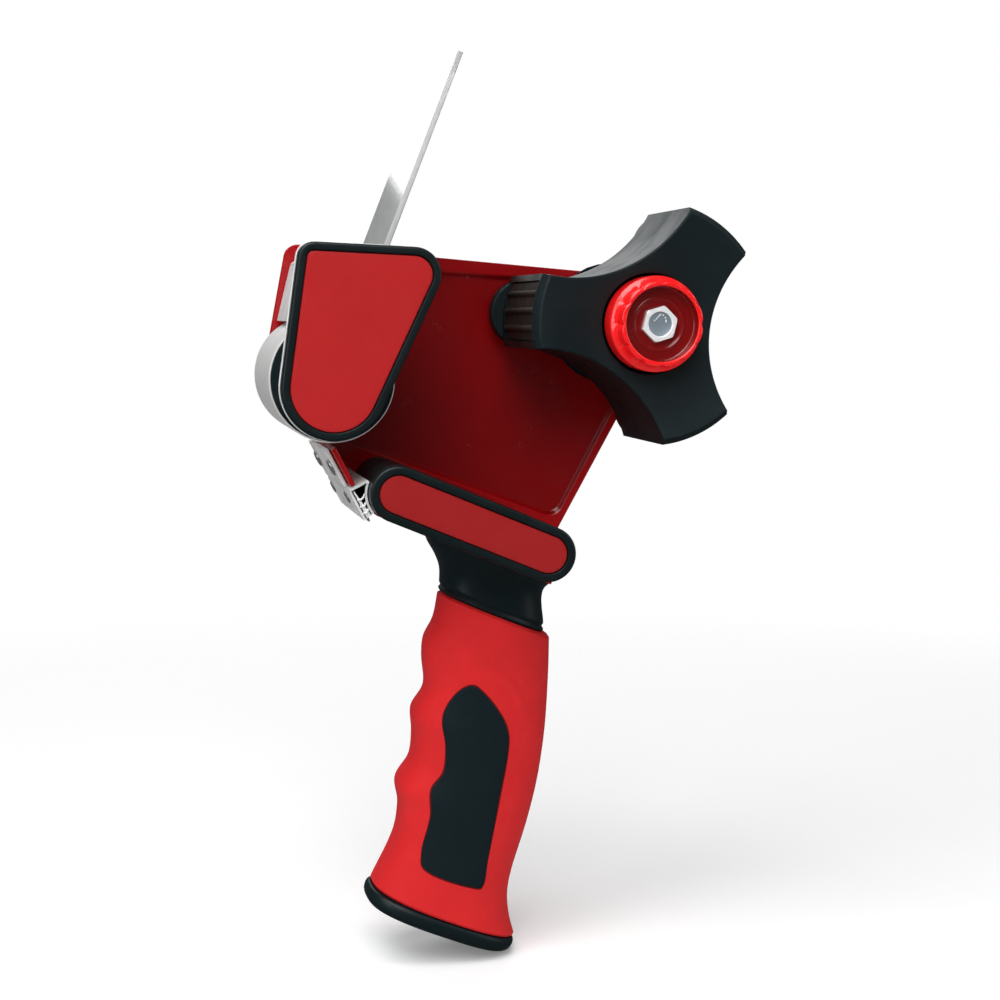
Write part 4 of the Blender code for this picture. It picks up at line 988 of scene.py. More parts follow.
def build_covers():
    bar = [(*BAR_LEFT, BAR_RADIUS), (*BAR_RIGHT, BAR_RADIUS)]
    head = to_metres(HEAD_CIRCLES)
    for name, circles, rim, paint in (("head_cover", head, HEAD_RIM, "cover panel"),
                                      ("bar_cover", bar, BAR_RIM, "bar panel")):
        make_piece(name + "_frame", skin(bmesh.new(), cover_rings(circles, rim)), "cover rim", "frame",
                   "black_rim", name + "_rim")
        slot = "red_panel" if name == "head_cover" else "dark_red_panel"
        make_piece(name + "_face", skin(bmesh.new(), panel_rings(circles, rim)), paint, "frame", slot,
                   name + "_panel")
    low, high = span("head_plate")
    make_piece("head_backing_plate", prism(bmesh.new(), hull(head, GAP), low.y, high.y, 0.25 * MM, 2),
               "zinc plate", "frame", "zinc_plate", "head_plate")


def wall_point(along, out):
    return WALL_TOP + WALL_ALONG * along + WALL_OUT * out


def build_side_frame():
    plate, panel = to_metres(PLATE_CIRCLES), to_metres(PANEL_CIRCLES)
    edge = 0.35 * MM
    lift = EMBOSS
    steps = ((panel, -1.1, PLATE_Y + lift), (panel, -0.75, PLATE_Y + lift - 0.06 * MM),
             (panel, -0.4, PLATE_Y + lift * 0.80), (panel, 0, PLATE_Y + lift / 2),
             (panel, 0.4, PLATE_Y + lift * 0.20), (panel, 0.75, PLATE_Y + 0.06 * MM), (panel, 1.1, PLATE_Y),
             (plate, -0.35, PLATE_Y), (plate, -0.1, PLATE_Y + 0.1 * MM), (plate, 0, PLATE_Y + edge),
             (plate, 0, PLATE_OUT - edge), (plate, -0.1, PLATE_OUT - 0.1 * MM), (plate, -0.35, PLATE_OUT),
             (panel, 2.3, PLATE_OUT), (panel, 1.9, PLATE_OUT + 0.06 * MM),
             (panel, 1.5, PLATE_OUT + lift * 0.25), (panel, 1.1, PLATE_OUT + lift * 0.75),
             (panel, 0.7, PLATE_OUT + lift - 0.06 * MM), (panel, 0.3, PLATE_OUT + lift))
    corners = [point - FRAME_MIDDLE for circles in (plate, panel) for point in hull(circles, 0, 10)]
    turns = sorted({round(math.atan2(corner.y, corner.x), 4) for corner in corners}
                   | {round(-math.pi + math.tau * index / FRAME_WAYS, 4) for index in range(FRAME_WAYS)})
    ways = [Vector((math.cos(turn), math.sin(turn))) for turn in turns]
    rings = []
    for circles, grow, depth in steps:
        outline = hull(circles, grow * MM)
        rings.append(at_depth([FRAME_MIDDLE + way * reach(outline, FRAME_MIDDLE, turn)
                               for way, turn in zip(ways, turns)], depth))
    work = bmesh.new()
    skin(work, rings)
    front = slab(wall_point(WALL_START, -SHEET / 2), wall_point(WALL_END, -SHEET / 2), SHEET / 2)
    base = slab(rail(BASE_START, -SHEET / 2 / MM), rail(BASE_END, -SHEET / 2 / MM), SHEET / 2)
    for outline in (front, base):
        prism(work, outline, FRAME_NEAR, PLATE_Y + SHEET / 3, 0.35 * MM)
    # faces of the pressed recess on the near side take the darker enamel, a painted shade
    for face in work.faces:
        middle = face.calc_center_median()
        face.material_index = int(abs(middle.y - PLATE_Y - lift * 0.8) < lift * 0.5)
    make_piece("enamelled_side_frame", work, ("frame enamel", "panel enamel"), "frame", "painted_steel",
               "side_frame")


# Cutter

def build_cutter():
    guide = slab(wall_point(WALL_START, GAP + ZINC / 2), wall_point(WALL_END, GAP + ZINC / 2), ZINC / 2)
    make_piece("tape_guide_plate", prism(bmesh.new(), guide, GUIDE_NEAR, GUIDE_FAR, 0.25 * MM),
               "zinc plate", "frame", "zinc_plate", "guide_plate")

    screws = (GUIDE_NEAR + SCREW_INSET, GUIDE_FAR - SCREW_INSET)
    head = ZINC + 2 * GAP
    for number, depth in enumerate(screws, 1):
        work = bmesh.new()
        profile = ((0, -2 * MM), (1.5 * MM, -2 * MM), (1.5 * MM, head), (2.8 * MM, head),
                   (2.75 * MM, head + 0.2 * MM), (2.3 * MM, head + 0.45 * MM), (1.5 * MM, head + 0.6 * MM),
                   (1.1 * MM, head + 0.6 * MM), (0.9 * MM, head + 0.3 * MM), (0, head + 0.2 * MM))
        turned(work, profile, pointing(WALL_OUT, wall_point(SCREW_DOWN, 0), depth), 32)
        make_piece(f"guide_screw_domed_{number}", work, "steel", "frame", "steel", f"guide_screw_{number}")

    web = WALL_END + GAP + ZINC / 2
    front_out = GAP + ZINC / 2
    foot = web + HOLDER_DEPTH
    around = BAR_RADIUS + GAP + ZINC / 2
    bow = arc(BAR_LEFT, around, HOLDER_TURN, HOLDER_TURN + HOLDER_SWEEP, BOW_STEPS)
    line = [wall_point(foot, front_out), *rounded([wall_point(foot, front_out), wall_point(web, front_out),
            bow[0], bow[1]], 0.9 * MM, False)[1:], *bow[2:]]
    low = span("blade_holder")[0].y
    work = bmesh.new()
    prism(work, ribbon(line, ZINC / 2), low, GUIDE_FAR, 0.25 * MM, 2)
    flange = [wall_point(foot, front_out), wall_point(web, front_out), *bow]
    prism(work, flange, low, low + ZINC, 0.22 * MM, 2)
    for share in GROOVE_SHARES:
        inner = wall_point(web + HOLDER_DEPTH * share, front_out)
        groove = [inner.lerp(bow[round(BOW_STEPS * share)], step / 8) + WALL_ALONG * GROOVE_BOW
                  * math.sin(math.pi * step / 8) for step in range(1, 8)]
        prism(work, ribbon(groove, GROOVE_HALF), low - 0.22 * MM, low + 0.3 * MM, 0.18 * MM, 3)
    make_piece("pressed_blade_holder", work, "zinc plate", "frame", "zinc_plate", "blade_holder")
    build_blade(web, foot, front_out - ZINC / 2 - GAP, screws)


def build_blade(web, foot, face, studs):
    """A strip of teeth drawn flat in depth and height, then stood behind the holder."""
    near, far = GUIDE_NEAR - 2 * MM, GUIDE_FAR - 1 * MM
    count = int((far - near) / TOOTH_PITCH)
    pitch = (far - near) / count
    root = foot + 0.6 * MM
    edge = [(near, -(web + 1.5 * MM))]
    for index in range(count):
        edge += [(near + pitch * index, -root), (near + pitch * (index + 0.5), -(root + TOOTH_HEIGHT))]
    edge += [(far, -root), (far, -(web + 1.5 * MM))]
    work = bmesh.new()
    prism(work, [Vector(point) for point in edge], -BLADE_THICK / 2, BLADE_THICK / 2, 0.1 * MM, 1)
    out = Vector((WALL_OUT.x, 0, WALL_OUT.y))
    down = Vector((WALL_ALONG.x, 0, WALL_ALONG.y))
    turn = Matrix((Vector((0, 1, 0)), out, -down)).transposed()
    place = wall_point(0, face - BLADE_THICK / 2)
    bmesh.ops.transform(work, matrix=Matrix.Translation((place.x, 0, place.y)) @ turn.to_4x4(),
                        verts=work.verts)
    make_piece("toothed_blade", work, "blade steel", "frame", "blade_steel", "blade")
    for number, depth in enumerate(studs, 1):
        seat = face + 2 * GAP + ZINC
        profile = ((0, face - BLADE_THICK - GAP), (1.2 * MM, face - BLADE_THICK - GAP), (1.2 * MM, seat),
                   (2.1 * MM, seat), (1.95 * MM, seat + 0.2 * MM), (1.5 * MM, seat + 0.36 * MM),
                   (0, seat + 0.42 * MM))
        make_piece(f"blade_rivet_headed_{number}", turned(bmesh.new(), profile,
                pointing(WALL_OUT, wall_point(web + BLADE_RIVET_DOWN, 0), depth), 28), "steel", "frame",
                "steel", f"blade_rivet_{number}")


# Roller

def build_roller():
    near, far = span("roller_core")[0].y, span("roller_sleeve")[1].y
    outer = (span("roller_sleeve")[1].x - span("roller_sleeve")[0].x) / 2
    seat = span("roller_sleeve")[0].y
    inner = outer - SLEEVE_THICK
    place = upright(ROLLER)
    make_piece("wetting_sleeve", turned(bmesh.new(), soft_profile(((inner, seat), (outer, seat),
            (outer, far), (inner, far)), 0.8 * MM, 6), place, ROLLER_STEPS), "roller rubber", "roller",
            "grey_roller", "roller_sleeve")

    disc = (span("roller_core")[1].x - span("roller_core")[0].x) / 2
    bore = ROLLER_BORE
    profile = ((bore, near), (6.2 * MM, near), (6.6 * MM, near + 0.35 * MM),
               (disc - 3.4 * MM, near + 0.35 * MM), (disc - 3.0 * MM, near), (disc - 0.4 * MM, near),
               (disc - 0.1 * MM, near + 0.12 * MM), (disc, near + 0.45 * MM), (disc, seat - GAP),
               (inner - GAP, seat - GAP), (inner - GAP, far - 0.3 * MM), (inner - 0.6 * MM, far),
               (bore, far))
    make_piece("roller_core_disc", turned(bmesh.new(), profile, place, ROLLER_STEPS), "moulded black",
               "roller", "black_plastic", "roller_core")
    for end in ("near", "far"):
        low, high = span(f"roller_bush_{end}")
        profile = ring_profile(BEARING_BORE, BEARING_RADIUS, low.y, high.y)
        make_piece(f"roller_bearing_{end}", turned(bmesh.new(), profile, place, 48), "bronze", "roller",
                   "bronze", f"roller_bush_{end}")


# Tape flap

def build_flap():
    low, high = span("flap_leaf")
    near, far = low.y, high.y
    half = FLAP_SHEET / 2
    wrap = CURL_RADIUS - half
    leaf_angle = math.atan2(FLAP_TIP.y - PIN.y, FLAP_TIP.x - PIN.x) - math.pi / 2
    web_angle = math.atan2(FLAP_HEEL.y - PIN.y, FLAP_HEEL.x - PIN.x) + math.pi / 2
    curl = arc(PIN, wrap, leaf_angle, web_angle - math.tau, 28)
    heel_out = STRIP_LEFT * (STRIP_THICK + GAP + half)
    heel = STRIP_FOOT + heel_out + STRIP_ALONG * (FLAP_HEEL - STRIP_FOOT - heel_out).dot(STRIP_ALONG)
    web = rounded([curl[-1], heel, STRIP_FOOT + heel_out - STRIP_ALONG * HEEL_DOWN], HEEL_BEND, False, 8)
    work = bmesh.new()
    prism(work, ribbon([FLAP_TIP, curl[0], *curl[1:4]], half), near, far, 0.2 * MM, 2)
    prism(work, ribbon([*curl[-4:], *web[1:]], half), near, far, 0.2 * MM, 2)
    for start, end in ((near, near + CURL_LENGTH), (far - CURL_LENGTH, far)):
        prism(work, ribbon(curl, half), start, end, 0.2 * MM, 2)
    make_piece("folded_flap_leaf", work, "zinc plate", "flap", "zinc_plate", "flap_leaf")

    foot = STRIP_FOOT + STRIP_LEFT * STRIP_THICK / 2 - STRIP_ALONG * STRIP_BELOW
    tip = STRIP_FOOT + STRIP_LEFT * STRIP_THICK / 2 + STRIP_ALONG * STRIP_ABOVE
    make_piece("clear_guide_strip", prism(bmesh.new(), slab(foot, tip, STRIP_THICK / 2),
            span("guide_strip")[0].y, span("guide_strip")[1].y, 0.35 * MM, 2), "clear sheet", "flap",
            "clear_strip", "guide_strip")

    rivet_at = STRIP_FOOT - STRIP_ALONG * RIVET_DOWN
    back = STRIP_THICK + 2 * GAP + FLAP_SHEET
    for number, depth in enumerate((near + RIVET_INSET, far - RIVET_INSET), 1):
        profile = ((0, -GAP - 0.85 * MM), (1.5 * MM, -GAP - 0.72 * MM), (2.5 * MM, -GAP - 0.35 * MM),
                   (2.8 * MM, -GAP), (1.5 * MM, -GAP), (1.5 * MM, back), (2.8 * MM, back),
                   (2.5 * MM, back + 0.35 * MM), (1.5 * MM, back + 0.72 * MM), (0, back + 0.85 * MM))
        make_piece(f"strip_rivet_domed_{number}", turned(bmesh.new(), profile,
                pointing(STRIP_LEFT, rivet_at, depth), 32), "steel", "flap", "steel",
                f"strip_rivet_{number}")


# Handle

def handle_ring(w, front, back, half_depth, squareness=GRIP_SQUARENESS, count=112):
    """Rounded section in a plane parallel to the rail."""
    middle, half = (front + back) / 2, (back - front) / 2
    ring = []
    for index in range(count):
        angle = math.tau * index / count
        across = math.copysign(abs(math.cos(angle)) ** (2 / squareness), math.cos(angle))
        aside = math.copysign(abs(math.sin(angle)) ** (2 / squareness), math.sin(angle))
        point = rail(middle + half * across, w)
        ring.append(Vector((point.x, HANDLE_Y + half_depth * aside * MM, point.y)))
    return ring


def build_saddle():
    low, high = span("saddle_block")
    circles = [(*BAR_LEFT, SADDLE_RADIUS), (*BAR_RIGHT, SADDLE_RADIUS)]
    floor = (SHEET + GAP) / MM
    kept = []
    for point in hull(circles, 0, 20):
        below = (point - RAIL).dot(DOWN) / MM
        kept.append(point - DOWN * (below + floor) * MM if below > -floor else point)
    work = bmesh.new()
    prism(work, kept, low.y, high.y, 0.6 * MM, 4)
    bmesh.ops.remove_doubles(work, verts=work.verts, dist=0.02 * MM)
    make_piece("moulded_saddle", work, "moulded black", "frame", "black_plastic", "saddle_block")


def build_neck():
    rings = []
    for step in range(NECK_STEPS + 1):
        w = NECK_START + (NECK_END - NECK_START) * step / NECK_STEPS
        groove = GROOVE_DEPTH * math.exp(-((w - GROOVE_AT) / GROOVE_DEPTH) ** 2)
        lip = LIP * max(0.0, 1 - (w - NECK_START) / LIP) + LIP * max(0.0, 1 - (NECK_END - w) / 0.5)
        inset = groove + lip
        rings.append(handle_ring(w, smooth_through(NECK_FRONT, w) + inset,
                smooth_through(NECK_BACK, w) - inset, smooth_through(NECK_DEPTH, w) - inset))
    make_piece("handle_neck", skin(bmesh.new(), rings), "moulded black", "frame", "black_plastic",
               "handle_core")


def grip_size(share):
    return tuple(smooth_through(table, share) for table in (GRIP_FRONT, GRIP_BACK, GRIP_DEPTH))


def soft_ridge(u, w):
    """Height of the curved thumb ridge near the top of the grip, in millimetres."""
    best = 99.0
    for first, last in zip(RIDGE_LINE, RIDGE_LINE[1:]):
        run = last - first
        here = Vector((u, w)) - first
        share = min(1.0, max(0.0, here.dot(run) / run.length_squared))
        best = min(best, (here - run * share).length)
    return RIDGE_HEIGHT * math.exp(-(best / RIDGE_WIDTH) ** 2)


def build_grip():
    rings = []
    for row in range(GRIP_ROWS + 1):
        share = row / GRIP_ROWS
        w = GRIP_TOP + GRIP_LENGTH * share
        front, back, depth = grip_size(share)
        near_end = min(share, 1 - share) * GRIP_LENGTH
        inset = GRIP_LIP * (1 - math.sqrt(1 - (1 - min(1.0, near_end / GRIP_LIP)) ** 2))
        ring = handle_ring(w, front + inset, back - inset, depth - inset)
        for point in ring:
            u = (Vector((point.x, point.z)) - RAIL).dot(ALONG) / MM
            side = (point.y - HANDLE_Y) / (depth * MM)
            point.y += soft_ridge(u, w) * MM * side * abs(side)
        middle = rail((front + back) / 2, w)
        shrunk = [Vector((middle.x, HANDLE_Y, middle.y)).lerp(point, END_SHRINK) for point in ring]
        rings += [shrunk, ring] if row == 0 else [ring, shrunk] if row == GRIP_ROWS else [ring]
    make_piece("rubber_grip", skin(bmesh.new(), rings), "red rubber", "frame", "red_grip", "grip_sleeve")
    for side, name in ((-1, "near"), (1, "far")):
        build_inlay(side, name)


def closed_curve(points, pieces):
    """Smooth closed line through a ring of points."""
    count = len(points)
    line = []
    for index in range(count):
        before, here, after, beyond = (points[(index + step) % count] for step in (-1, 0, 1, 2))
        for step in range(pieces):
            t = step / pieces
            line.append(0.5 * (2 * here + (after - before) * t + (2 * before - 5 * here + 4 * after
                    - beyond) * t * t + (3 * here - before - 3 * after + beyond) * t ** 3))
    return line


def build_inlay(side, name):
    """Rubber pad let into the side of the grip, with a thin seam groove round it whose dark red is painted
    shade.
    """
    outline = closed_curve([Vector((u, w)) for w, u in INLAY], 7)
    middle = INLAY_MIDDLE
    steps = [(share, INLAY_PROUD) for share in (0.02, 0.15, 0.3, 0.45, 0.6, 0.72, 0.82, 0.9)]
    insets = ((1.7, INLAY_PROUD), (1.05, INLAY_PROUD * 0.97), (0.62, INLAY_PROUD * 0.7), (0.42, 0.05),
              (0.38, -0.2), (0.36, 0.06), (0.0, 0.06), (-0.06, -0.5))
    rings = []
    for share, proud in steps:
        rings.append([on_grip(middle.lerp(point, share), side, proud) for point in outline])
    for inset, proud in insets:
        ring = []
        for point in outline:
            inwards = (middle - point).normalized()
            ring.append(on_grip(point + inwards * inset, side, proud))
        rings.append(ring)
    rings.append([on_grip(middle.lerp(point, 0.5), side, -3.0) for point in outline])
    work = bmesh.new()
    skin(work, rings)
    work.faces.ensure_lookup_table()
    seam = len(outline)
    # faces from the seam groove outwards take a dark red: painted shade in the seam
    for index, face in enumerate(work.faces):
        band = (index - 1) // seam
        face.material_index = int(len(steps) + 3 <= band)
    make_piece(f"grip_inlay_pad_{name}", work, ("black rubber", "dark red rubber"), "frame", "black_grip",
               f"grip_inlay_{name}", crease=50)


def on_grip(point, side, proud):
    """A point u along and w below the rail, raised from the grip's surface on one side."""
    share = min(1.0, max(0.0, (point.y - GRIP_TOP) / GRIP_LENGTH))
    front, back, depth = grip_size(share)
    across = abs(point.x - (front + back) / 2) / ((back - front) / 2)
    out = depth * (1 - min(0.999, across) ** GRIP_SQUARENESS) ** (1 / GRIP_SQUARENESS)
    place = rail(point.x, point.y)
    return Vector((place.x, HANDLE_Y + side * (out + proud) * MM, place.y))


def build_cap():
    top = GRIP_TOP + GRIP_LENGTH + GAP / MM
    front, back, depth = grip_size(1)
    steps = ((0, 1.0), (0.35, 0.55), (0.9, 0.15), (1.9, 0), (3.4, 0.25), (4.2, 0.75), (4.8, 1.45),
             (5.2, 2.2), (5.45, 3.2), (5.5, 4.2))
    make_piece("grip_end_cap", skin(bmesh.new(), [handle_ring(top + down, front + inset - CAP_SETBACK,
            back - inset, depth - inset, CAP_SQUARENESS) for down, inset in steps]), "moulded black",
            "frame", "black_plastic", "end_cap")
    middle = (smooth_through(GRIP_FRONT, 1) + smooth_through(GRIP_BACK, 1)) / 2 - 3.0
    profile = ((0, 1 * MM), (3.2 * MM, 1 * MM), (3.2 * MM, 5.55 * MM), (3.0 * MM, 5.85 * MM),
               (2.2 * MM, 6.0 * MM), (1.5 * MM, 6.0 * MM), (1.35 * MM, 5.2 * MM), (0, 5.0 * MM))
    make_piece("cap_screw_head", turned(bmesh.new(), profile, pointing(DOWN, rail(middle, top), HANDLE_Y),
            36), "steel", "frame", "steel", "end_cap_screw")


# Small turned parts

def build_fasteners():
    low, high = span("roller_axle")
    work = bmesh.new()
    profile = [(0, low.y), (3.7 * MM, low.y), (4.2 * MM, low.y + 0.4 * MM), (4.2 * MM, low.y + 1.4 * MM),
               (2.5 * MM, low.y + 1.4 * MM), (2.5 * MM, PLATE_OUT)]
    for thread in range(AXLE_THREADS):
        depth = PLATE_OUT + thread * AXLE_PITCH
        profile += [(2.15 * MM, depth + 0.6 * MM), (2.5 * MM, depth + AXLE_PITCH)]
    profile += [(1.9 * MM, high.y), (0, high.y)]
    turned(work, profile, upright(ROLLER), 40)
    make_piece("roller_axle_pin", work, "steel", "frame", "steel", "roller_axle", crease=30)

    for node, flats, turn0, centre, bore in (("roller_nut", 8 * MM, 0.3, ROLLER, 2.8 * MM),
                                             ("axle_nut", 10 * MM, 0.2, (0, 0), 3.3 * MM)):
        low, high = span(node)
        work = bmesh.new()
        nut_piece(work, flats, turn0, centre, low.y, high.y, bore)
        make_piece(node + "_chamfered", work, "steel", "frame", "steel", node, crease=30)
    for node, outer, body, slot in (("axle_washer", 6 * MM, "frame", "zinc_plate"),
                                    ("tension_washer", 12.5 * MM, "brake", "zinc_plate")):
        low, high = span(node)
        make_piece(node + "_stamped", turned(bmesh.new(), ring_profile(BOLT_RADIUS + GAP, outer, low.y,
                high.y), None, 72), "zinc plate", body, slot, node)

    low, high = span("flap_pin")
    work = bmesh.new()
    profile = ((0, low.y), (2.1 * MM, low.y), (2.5 * MM, low.y + 0.3 * MM), (2.6 * MM, low.y + 1.0 * MM),
               (1.5 * MM, low.y + 1.0 * MM), (1.5 * MM, PLATE_OUT + GAP), (2.6 * MM, PLATE_OUT + GAP),
               (2.45 * MM, high.y - 0.4 * MM), (1.7 * MM, high.y - 0.08 * MM), (0, high.y))
    turned(work, profile, upright(PIN), 40)
    make_piece("flap_pin_peened", work, "steel", "frame", "steel", "flap_pin", crease=35)


def dress_carried_over():
    """Gives the CAD pieces that still show, mostly hidden springs, bushes and bolts, their finishes."""
    for node, name in (("clamp_bolt_1", "steel"), ("clamp_bolt_2", "steel"), ("flap_spring", "spring steel"),
                       ("tension_spring", "spring steel"), ("hub_bush", "bronze"), ("friction_disc",
                                                                                    "black rubber")):
        carried = frame["nodes"][node]
        carried.data.materials.clear()
        carried.data.materials.append(finish(name))


# Stage

def stage_object(name, mesh, material):
    mesh.materials.append(material)
    made = bpy.data.objects.new(name, mesh)
    bpy.context.scene.collection.objects.link(made)
    made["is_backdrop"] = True
    return made


def build_floor():
    """Pale floor that fades into the pale room away from the object."""
    made = Finish("pale floor")
    away = made.node("ShaderNodeVectorMath", {"operation": "LENGTH"}, {0: made.place}, 1)
    made.set(Base_Color=made.blend(made.noise(60 * MM, 3), (0.90, 0.90, 0.90), (0.93, 0.93, 0.93)),
             Roughness=0.7, Alpha=made.span(away, FLOOR_SOLID, FLOOR_GONE, 1.0, 0.0),
             Emission_Color=(1, 1, 1, 1), Emission_Strength=FLOOR_GLOW)
    work = bmesh.new()
    bmesh.ops.create_circle(work, cap_ends=True, segments=96, radius=FLOOR_RADIUS)
    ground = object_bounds()[0].z - FLOOR_GAP
    bmesh.ops.translate(work, vec=(0, 0, ground), verts=work.verts)
    mesh = bpy.data.meshes.new("studio_floor")
    work.to_mesh(mesh)
    work.free()
    stage_object("studio_floor", mesh, made.material).visible_glossy = False


def build_room():
    """World that the camera sees as white and that lights the object more softly."""
    sizes = bpy.context.scene.tape_gun_sizes
    world = bpy.data.worlds.new("pale room")
    bpy.context.scene.world = world
    world.use_nodes = True
    tree = world.node_tree
    tree.nodes.clear()
    output = tree.nodes.new("ShaderNodeOutputWorld")
    seen = tree.nodes.new("ShaderNodeBackground")
    seen.inputs[0].default_value = (1, 1, 1, 1)
    seen.inputs[1].default_value = 1.0
    lighting = tree.nodes.new("ShaderNodeBackground")
    lighting.inputs[0].default_value = ROOM_TINT
    lighting.inputs[1].default_value = sizes.room_light
    path = tree.nodes.new("ShaderNodeLightPath")
    chosen = tree.nodes.new("ShaderNodeMixShader")
    tree.links.new(path.outputs["Is Camera Ray"], chosen.inputs[0])
    tree.links.new(lighting.outputs[0], chosen.inputs[1])
    tree.links.new(seen.outputs[0], chosen.inputs[2])
    tree.links.new(chosen.outputs[0], output.inputs[0])


def add_softbox(name, place, width, height, power):
    light = bpy.data.lights.new(name, "AREA")
    light.shape = "RECTANGLE"
    light.size = width
    light.size_y = height
    light.energy = power
    made = bpy.data.objects.new(name, light)
    aim = ORIGIN + LIGHT_AIM - Vector(place)
    made.location = place
    made.rotation_mode = "QUATERNION"
    made.rotation_quaternion = aim.to_track_quat("-Z", "Y")
    bpy.context.scene.collection.objects.link(made)
    made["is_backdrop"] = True


def build_lights_and_camera():
    for name, place, width, height, share in SOFTBOXES:
        add_softbox(name, place, width, height, bpy.context.scene.tape_gun_sizes.key_light * share)
    data = bpy.data.cameras.new("studio camera")
    data.lens = CAMERA_LENS
    data.sensor_width = CAMERA_SENSOR
    data.clip_start = 0.01
    camera = bpy.data.objects.new("studio camera", data)
    camera.location = ORIGIN + CAMERA_PLACE
    camera.rotation_mode = "QUATERNION"
    camera.rotation_quaternion = CAMERA_BACK.to_track_quat("Z", "Y")
    bpy.context.scene.collection.objects.link(camera)
    bpy.context.scene.camera = camera
    bpy.context.scene.view_settings.view_transform = "Standard"


# Settings, operators and panel

class TapeGunSizes(bpy.types.PropertyGroup):
    """Sizes and lights that a user may change before the pieces are built."""

    scallop: bpy.props.FloatProperty(
        name="Knob scallop", description="Depth of the scallops round the brake knob", default=SCALLOP_DEPTH,
        min=0.0, max=1.5 * MM, unit="LENGTH", precision=5)
    key_light: bpy.props.FloatProperty(
        name="Overhead light", description="Power of the overhead softbox; the others keep their share of it",
        default=9.6, min=0.0, unit="POWER")
    room_light: bpy.props.FloatProperty(
        name="Room light", description="Strength of the even light from all round", default=0.07, min=0.0,
        max=2.0, subtype="FACTOR")


def colour_setting(name, description, default):
    return bpy.props.FloatVectorProperty(name=name, description=description, default=default, size=3,
            min=0.0, max=1.0, subtype="COLOR")


class TapeGunColours(bpy.types.PropertyGroup):
    """Colours of the main finishes."""

    enamel: colour_setting("Frame enamel", "Paint of the side frame", (0.36, 0.003, 0.005))
    panel: colour_setting("Cover panels", "Paint of the two sunk panels", (0.44, 0.012, 0.013))
    knob: colour_setting("Knob", "Gloss plastic of the brake knob", (0.95, 0.010, 0.012))
    grip: colour_setting("Grip", "Soft rubber of the handle", (0.56, 0.015, 0.017))
    hub: colour_setting("Hub", "Moulded plastic of the tape hub", (0.005, 0.012, 0.014))
    roller: colour_setting("Roller", "Rubber of the wetting roller", (0.56, 0.555, 0.55))


def build(*makers):
    """Runs the builders in turn and tells Blender that they finished; an error in one goes through."""
    for make in makers:
        make()
    return {"FINISHED"}


class TAPEGUN_OT_hub(bpy.types.Operator):
    """Builds the lobed hub moulding and the three ribbed pads let into its lobes"""
    bl_idname = "tape_gun.hub"
    bl_label = "Tape Hub"

    def execute(self, context):
        return build(build_hub_shell, build_core_grips)


class TAPEGUN_OT_knob(bpy.types.Operator):
    """Builds the scalloped brake knob with its sunk face"""
    bl_idname = "tape_gun.knob"
    bl_label = "Brake Knob"

    def execute(self, context):
        return build(build_knob)


class TAPEGUN_OT_axle_bolt(bpy.types.Operator):
    """Builds the hexagon-headed bolt that carries the hub"""
    bl_idname = "tape_gun.axle_bolt"
    bl_label = "Hub Axle Bolt"

    def execute(self, context):
        return build(build_axle_bolt)


class TAPEGUN_OT_covers(bpy.types.Operator):
    """Builds the head and bar covers, each a black rim with a sunk red panel, and the backing plate"""
    bl_idname = "tape_gun.covers"
    bl_label = "Covers"

    def execute(self, context):
        return build(build_covers)


class TAPEGUN_OT_side_frame(bpy.types.Operator):
    """Builds the enamelled side plate with its pressed panel and its front and base walls"""
    bl_idname = "tape_gun.side_frame"
    bl_label = "Side Frame"

    def execute(self, context):
        return build(build_side_frame)


class TAPEGUN_OT_cutter(bpy.types.Operator):
    """Builds the guide plate, the pressed blade holder, the toothed blade and their fixings"""
    bl_idname = "tape_gun.cutter"
    bl_label = "Cutter"

    def execute(self, context):
        return build(build_cutter)


class TAPEGUN_OT_roller(bpy.types.Operator):
    """Builds the roller's sleeve, core and bearings"""
    bl_idname = "tape_gun.roller"
    bl_label = "Roller"

    def execute(self, context):
        return build(build_roller)


class TAPEGUN_OT_flap(bpy.types.Operator):
    """Builds the sprung tape flap and its clear guide strip"""
    bl_idname = "tape_gun.flap"
    bl_label = "Tape Flap"

    def execute(self, context):
        return build(build_flap)


class TAPEGUN_OT_handle(bpy.types.Operator):
    """Builds the saddle on the base wall and the neck below it"""
    bl_idname = "tape_gun.handle"
    bl_label = "Saddle and Neck"

    def execute(self, context):
        return build(build_saddle, build_neck)


class TAPEGUN_OT_grip(bpy.types.Operator):
    """Builds the rubber grip, its two inlays and its end cap"""
    bl_idname = "tape_gun.grip"
    bl_label = "Grip"

    def execute(self, context):
        return build(build_grip, build_cap)


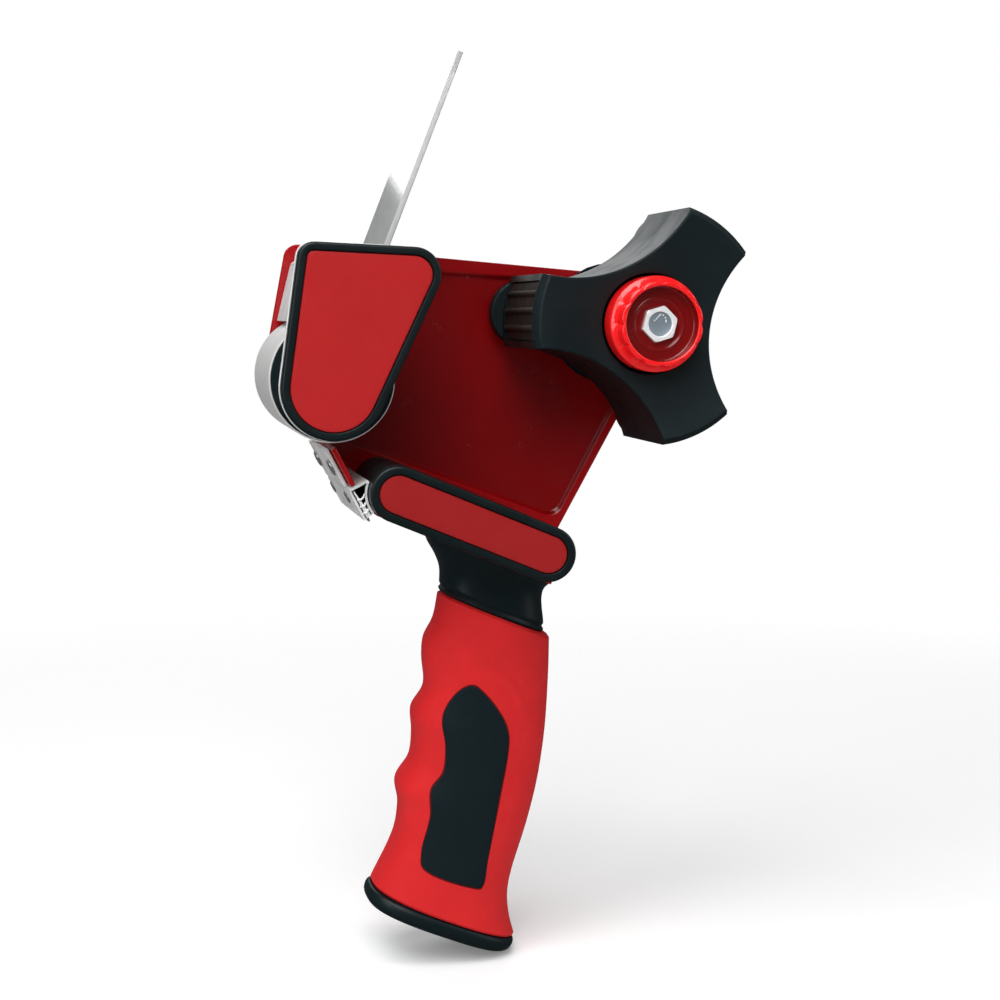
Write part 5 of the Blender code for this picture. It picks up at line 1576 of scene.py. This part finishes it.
class TAPEGUN_OT_fasteners(bpy.types.Operator):
    """Builds the axle, pin, nuts and washers, and finishes the CAD pieces that stay"""
    bl_idname = "tape_gun.fasteners"
    bl_label = "Fasteners"

    def execute(self, context):
        return build(build_fasteners, dress_carried_over)


class TAPEGUN_OT_stage(bpy.types.Operator):
    """Builds the pale floor and room, the softboxes and the camera"""
    bl_idname = "tape_gun.stage"
    bl_label = "Stage"

    def execute(self, context):
        return build(build_floor, build_room, build_lights_and_camera)


OPERATORS = (TAPEGUN_OT_side_frame, TAPEGUN_OT_covers, TAPEGUN_OT_cutter, TAPEGUN_OT_roller,
             TAPEGUN_OT_flap, TAPEGUN_OT_hub, TAPEGUN_OT_knob, TAPEGUN_OT_axle_bolt, TAPEGUN_OT_handle,
             TAPEGUN_OT_grip, TAPEGUN_OT_fasteners, TAPEGUN_OT_stage)


class TAPEGUN_PT_panel(bpy.types.Panel):
    """Lists the settings and the builders in the 3D view's sidebar"""
    bl_idname = "TAPEGUN_PT_panel"
    bl_label = "Carton Tape Dispenser"
    bl_space_type = "VIEW_3D"
    bl_region_type = "UI"
    bl_category = "Tape"

    def draw(self, context):
        for group in (context.scene.tape_gun_sizes, context.scene.tape_gun_colours):
            column = self.layout.column(align=True)
            for setting in group.bl_rna.properties:
                if setting.identifier not in ("rna_type", "name"):
                    column.prop(group, setting.identifier)
        column = self.layout.column(align=True)
        for operator in OPERATORS:
            column.operator(operator.bl_idname)


CLASSES = (TapeGunSizes, TapeGunColours, *OPERATORS, TAPEGUN_PT_panel)


def register():
    for each in CLASSES:
        bpy.utils.register_class(each)
    bpy.types.Scene.tape_gun_sizes = bpy.props.PointerProperty(type=TapeGunSizes)
    bpy.types.Scene.tape_gun_colours = bpy.props.PointerProperty(type=TapeGunColours)


def unregister():
    del bpy.types.Scene.tape_gun_colours
    del bpy.types.Scene.tape_gun_sizes
    for each in reversed(CLASSES):
        bpy.utils.unregister_class(each)


def main():
    register()
    for operator in OPERATORS:
        family, name = operator.bl_idname.split(".")
        getattr(getattr(bpy.ops, family), name)()


if __name__ == "__main__":
    main()
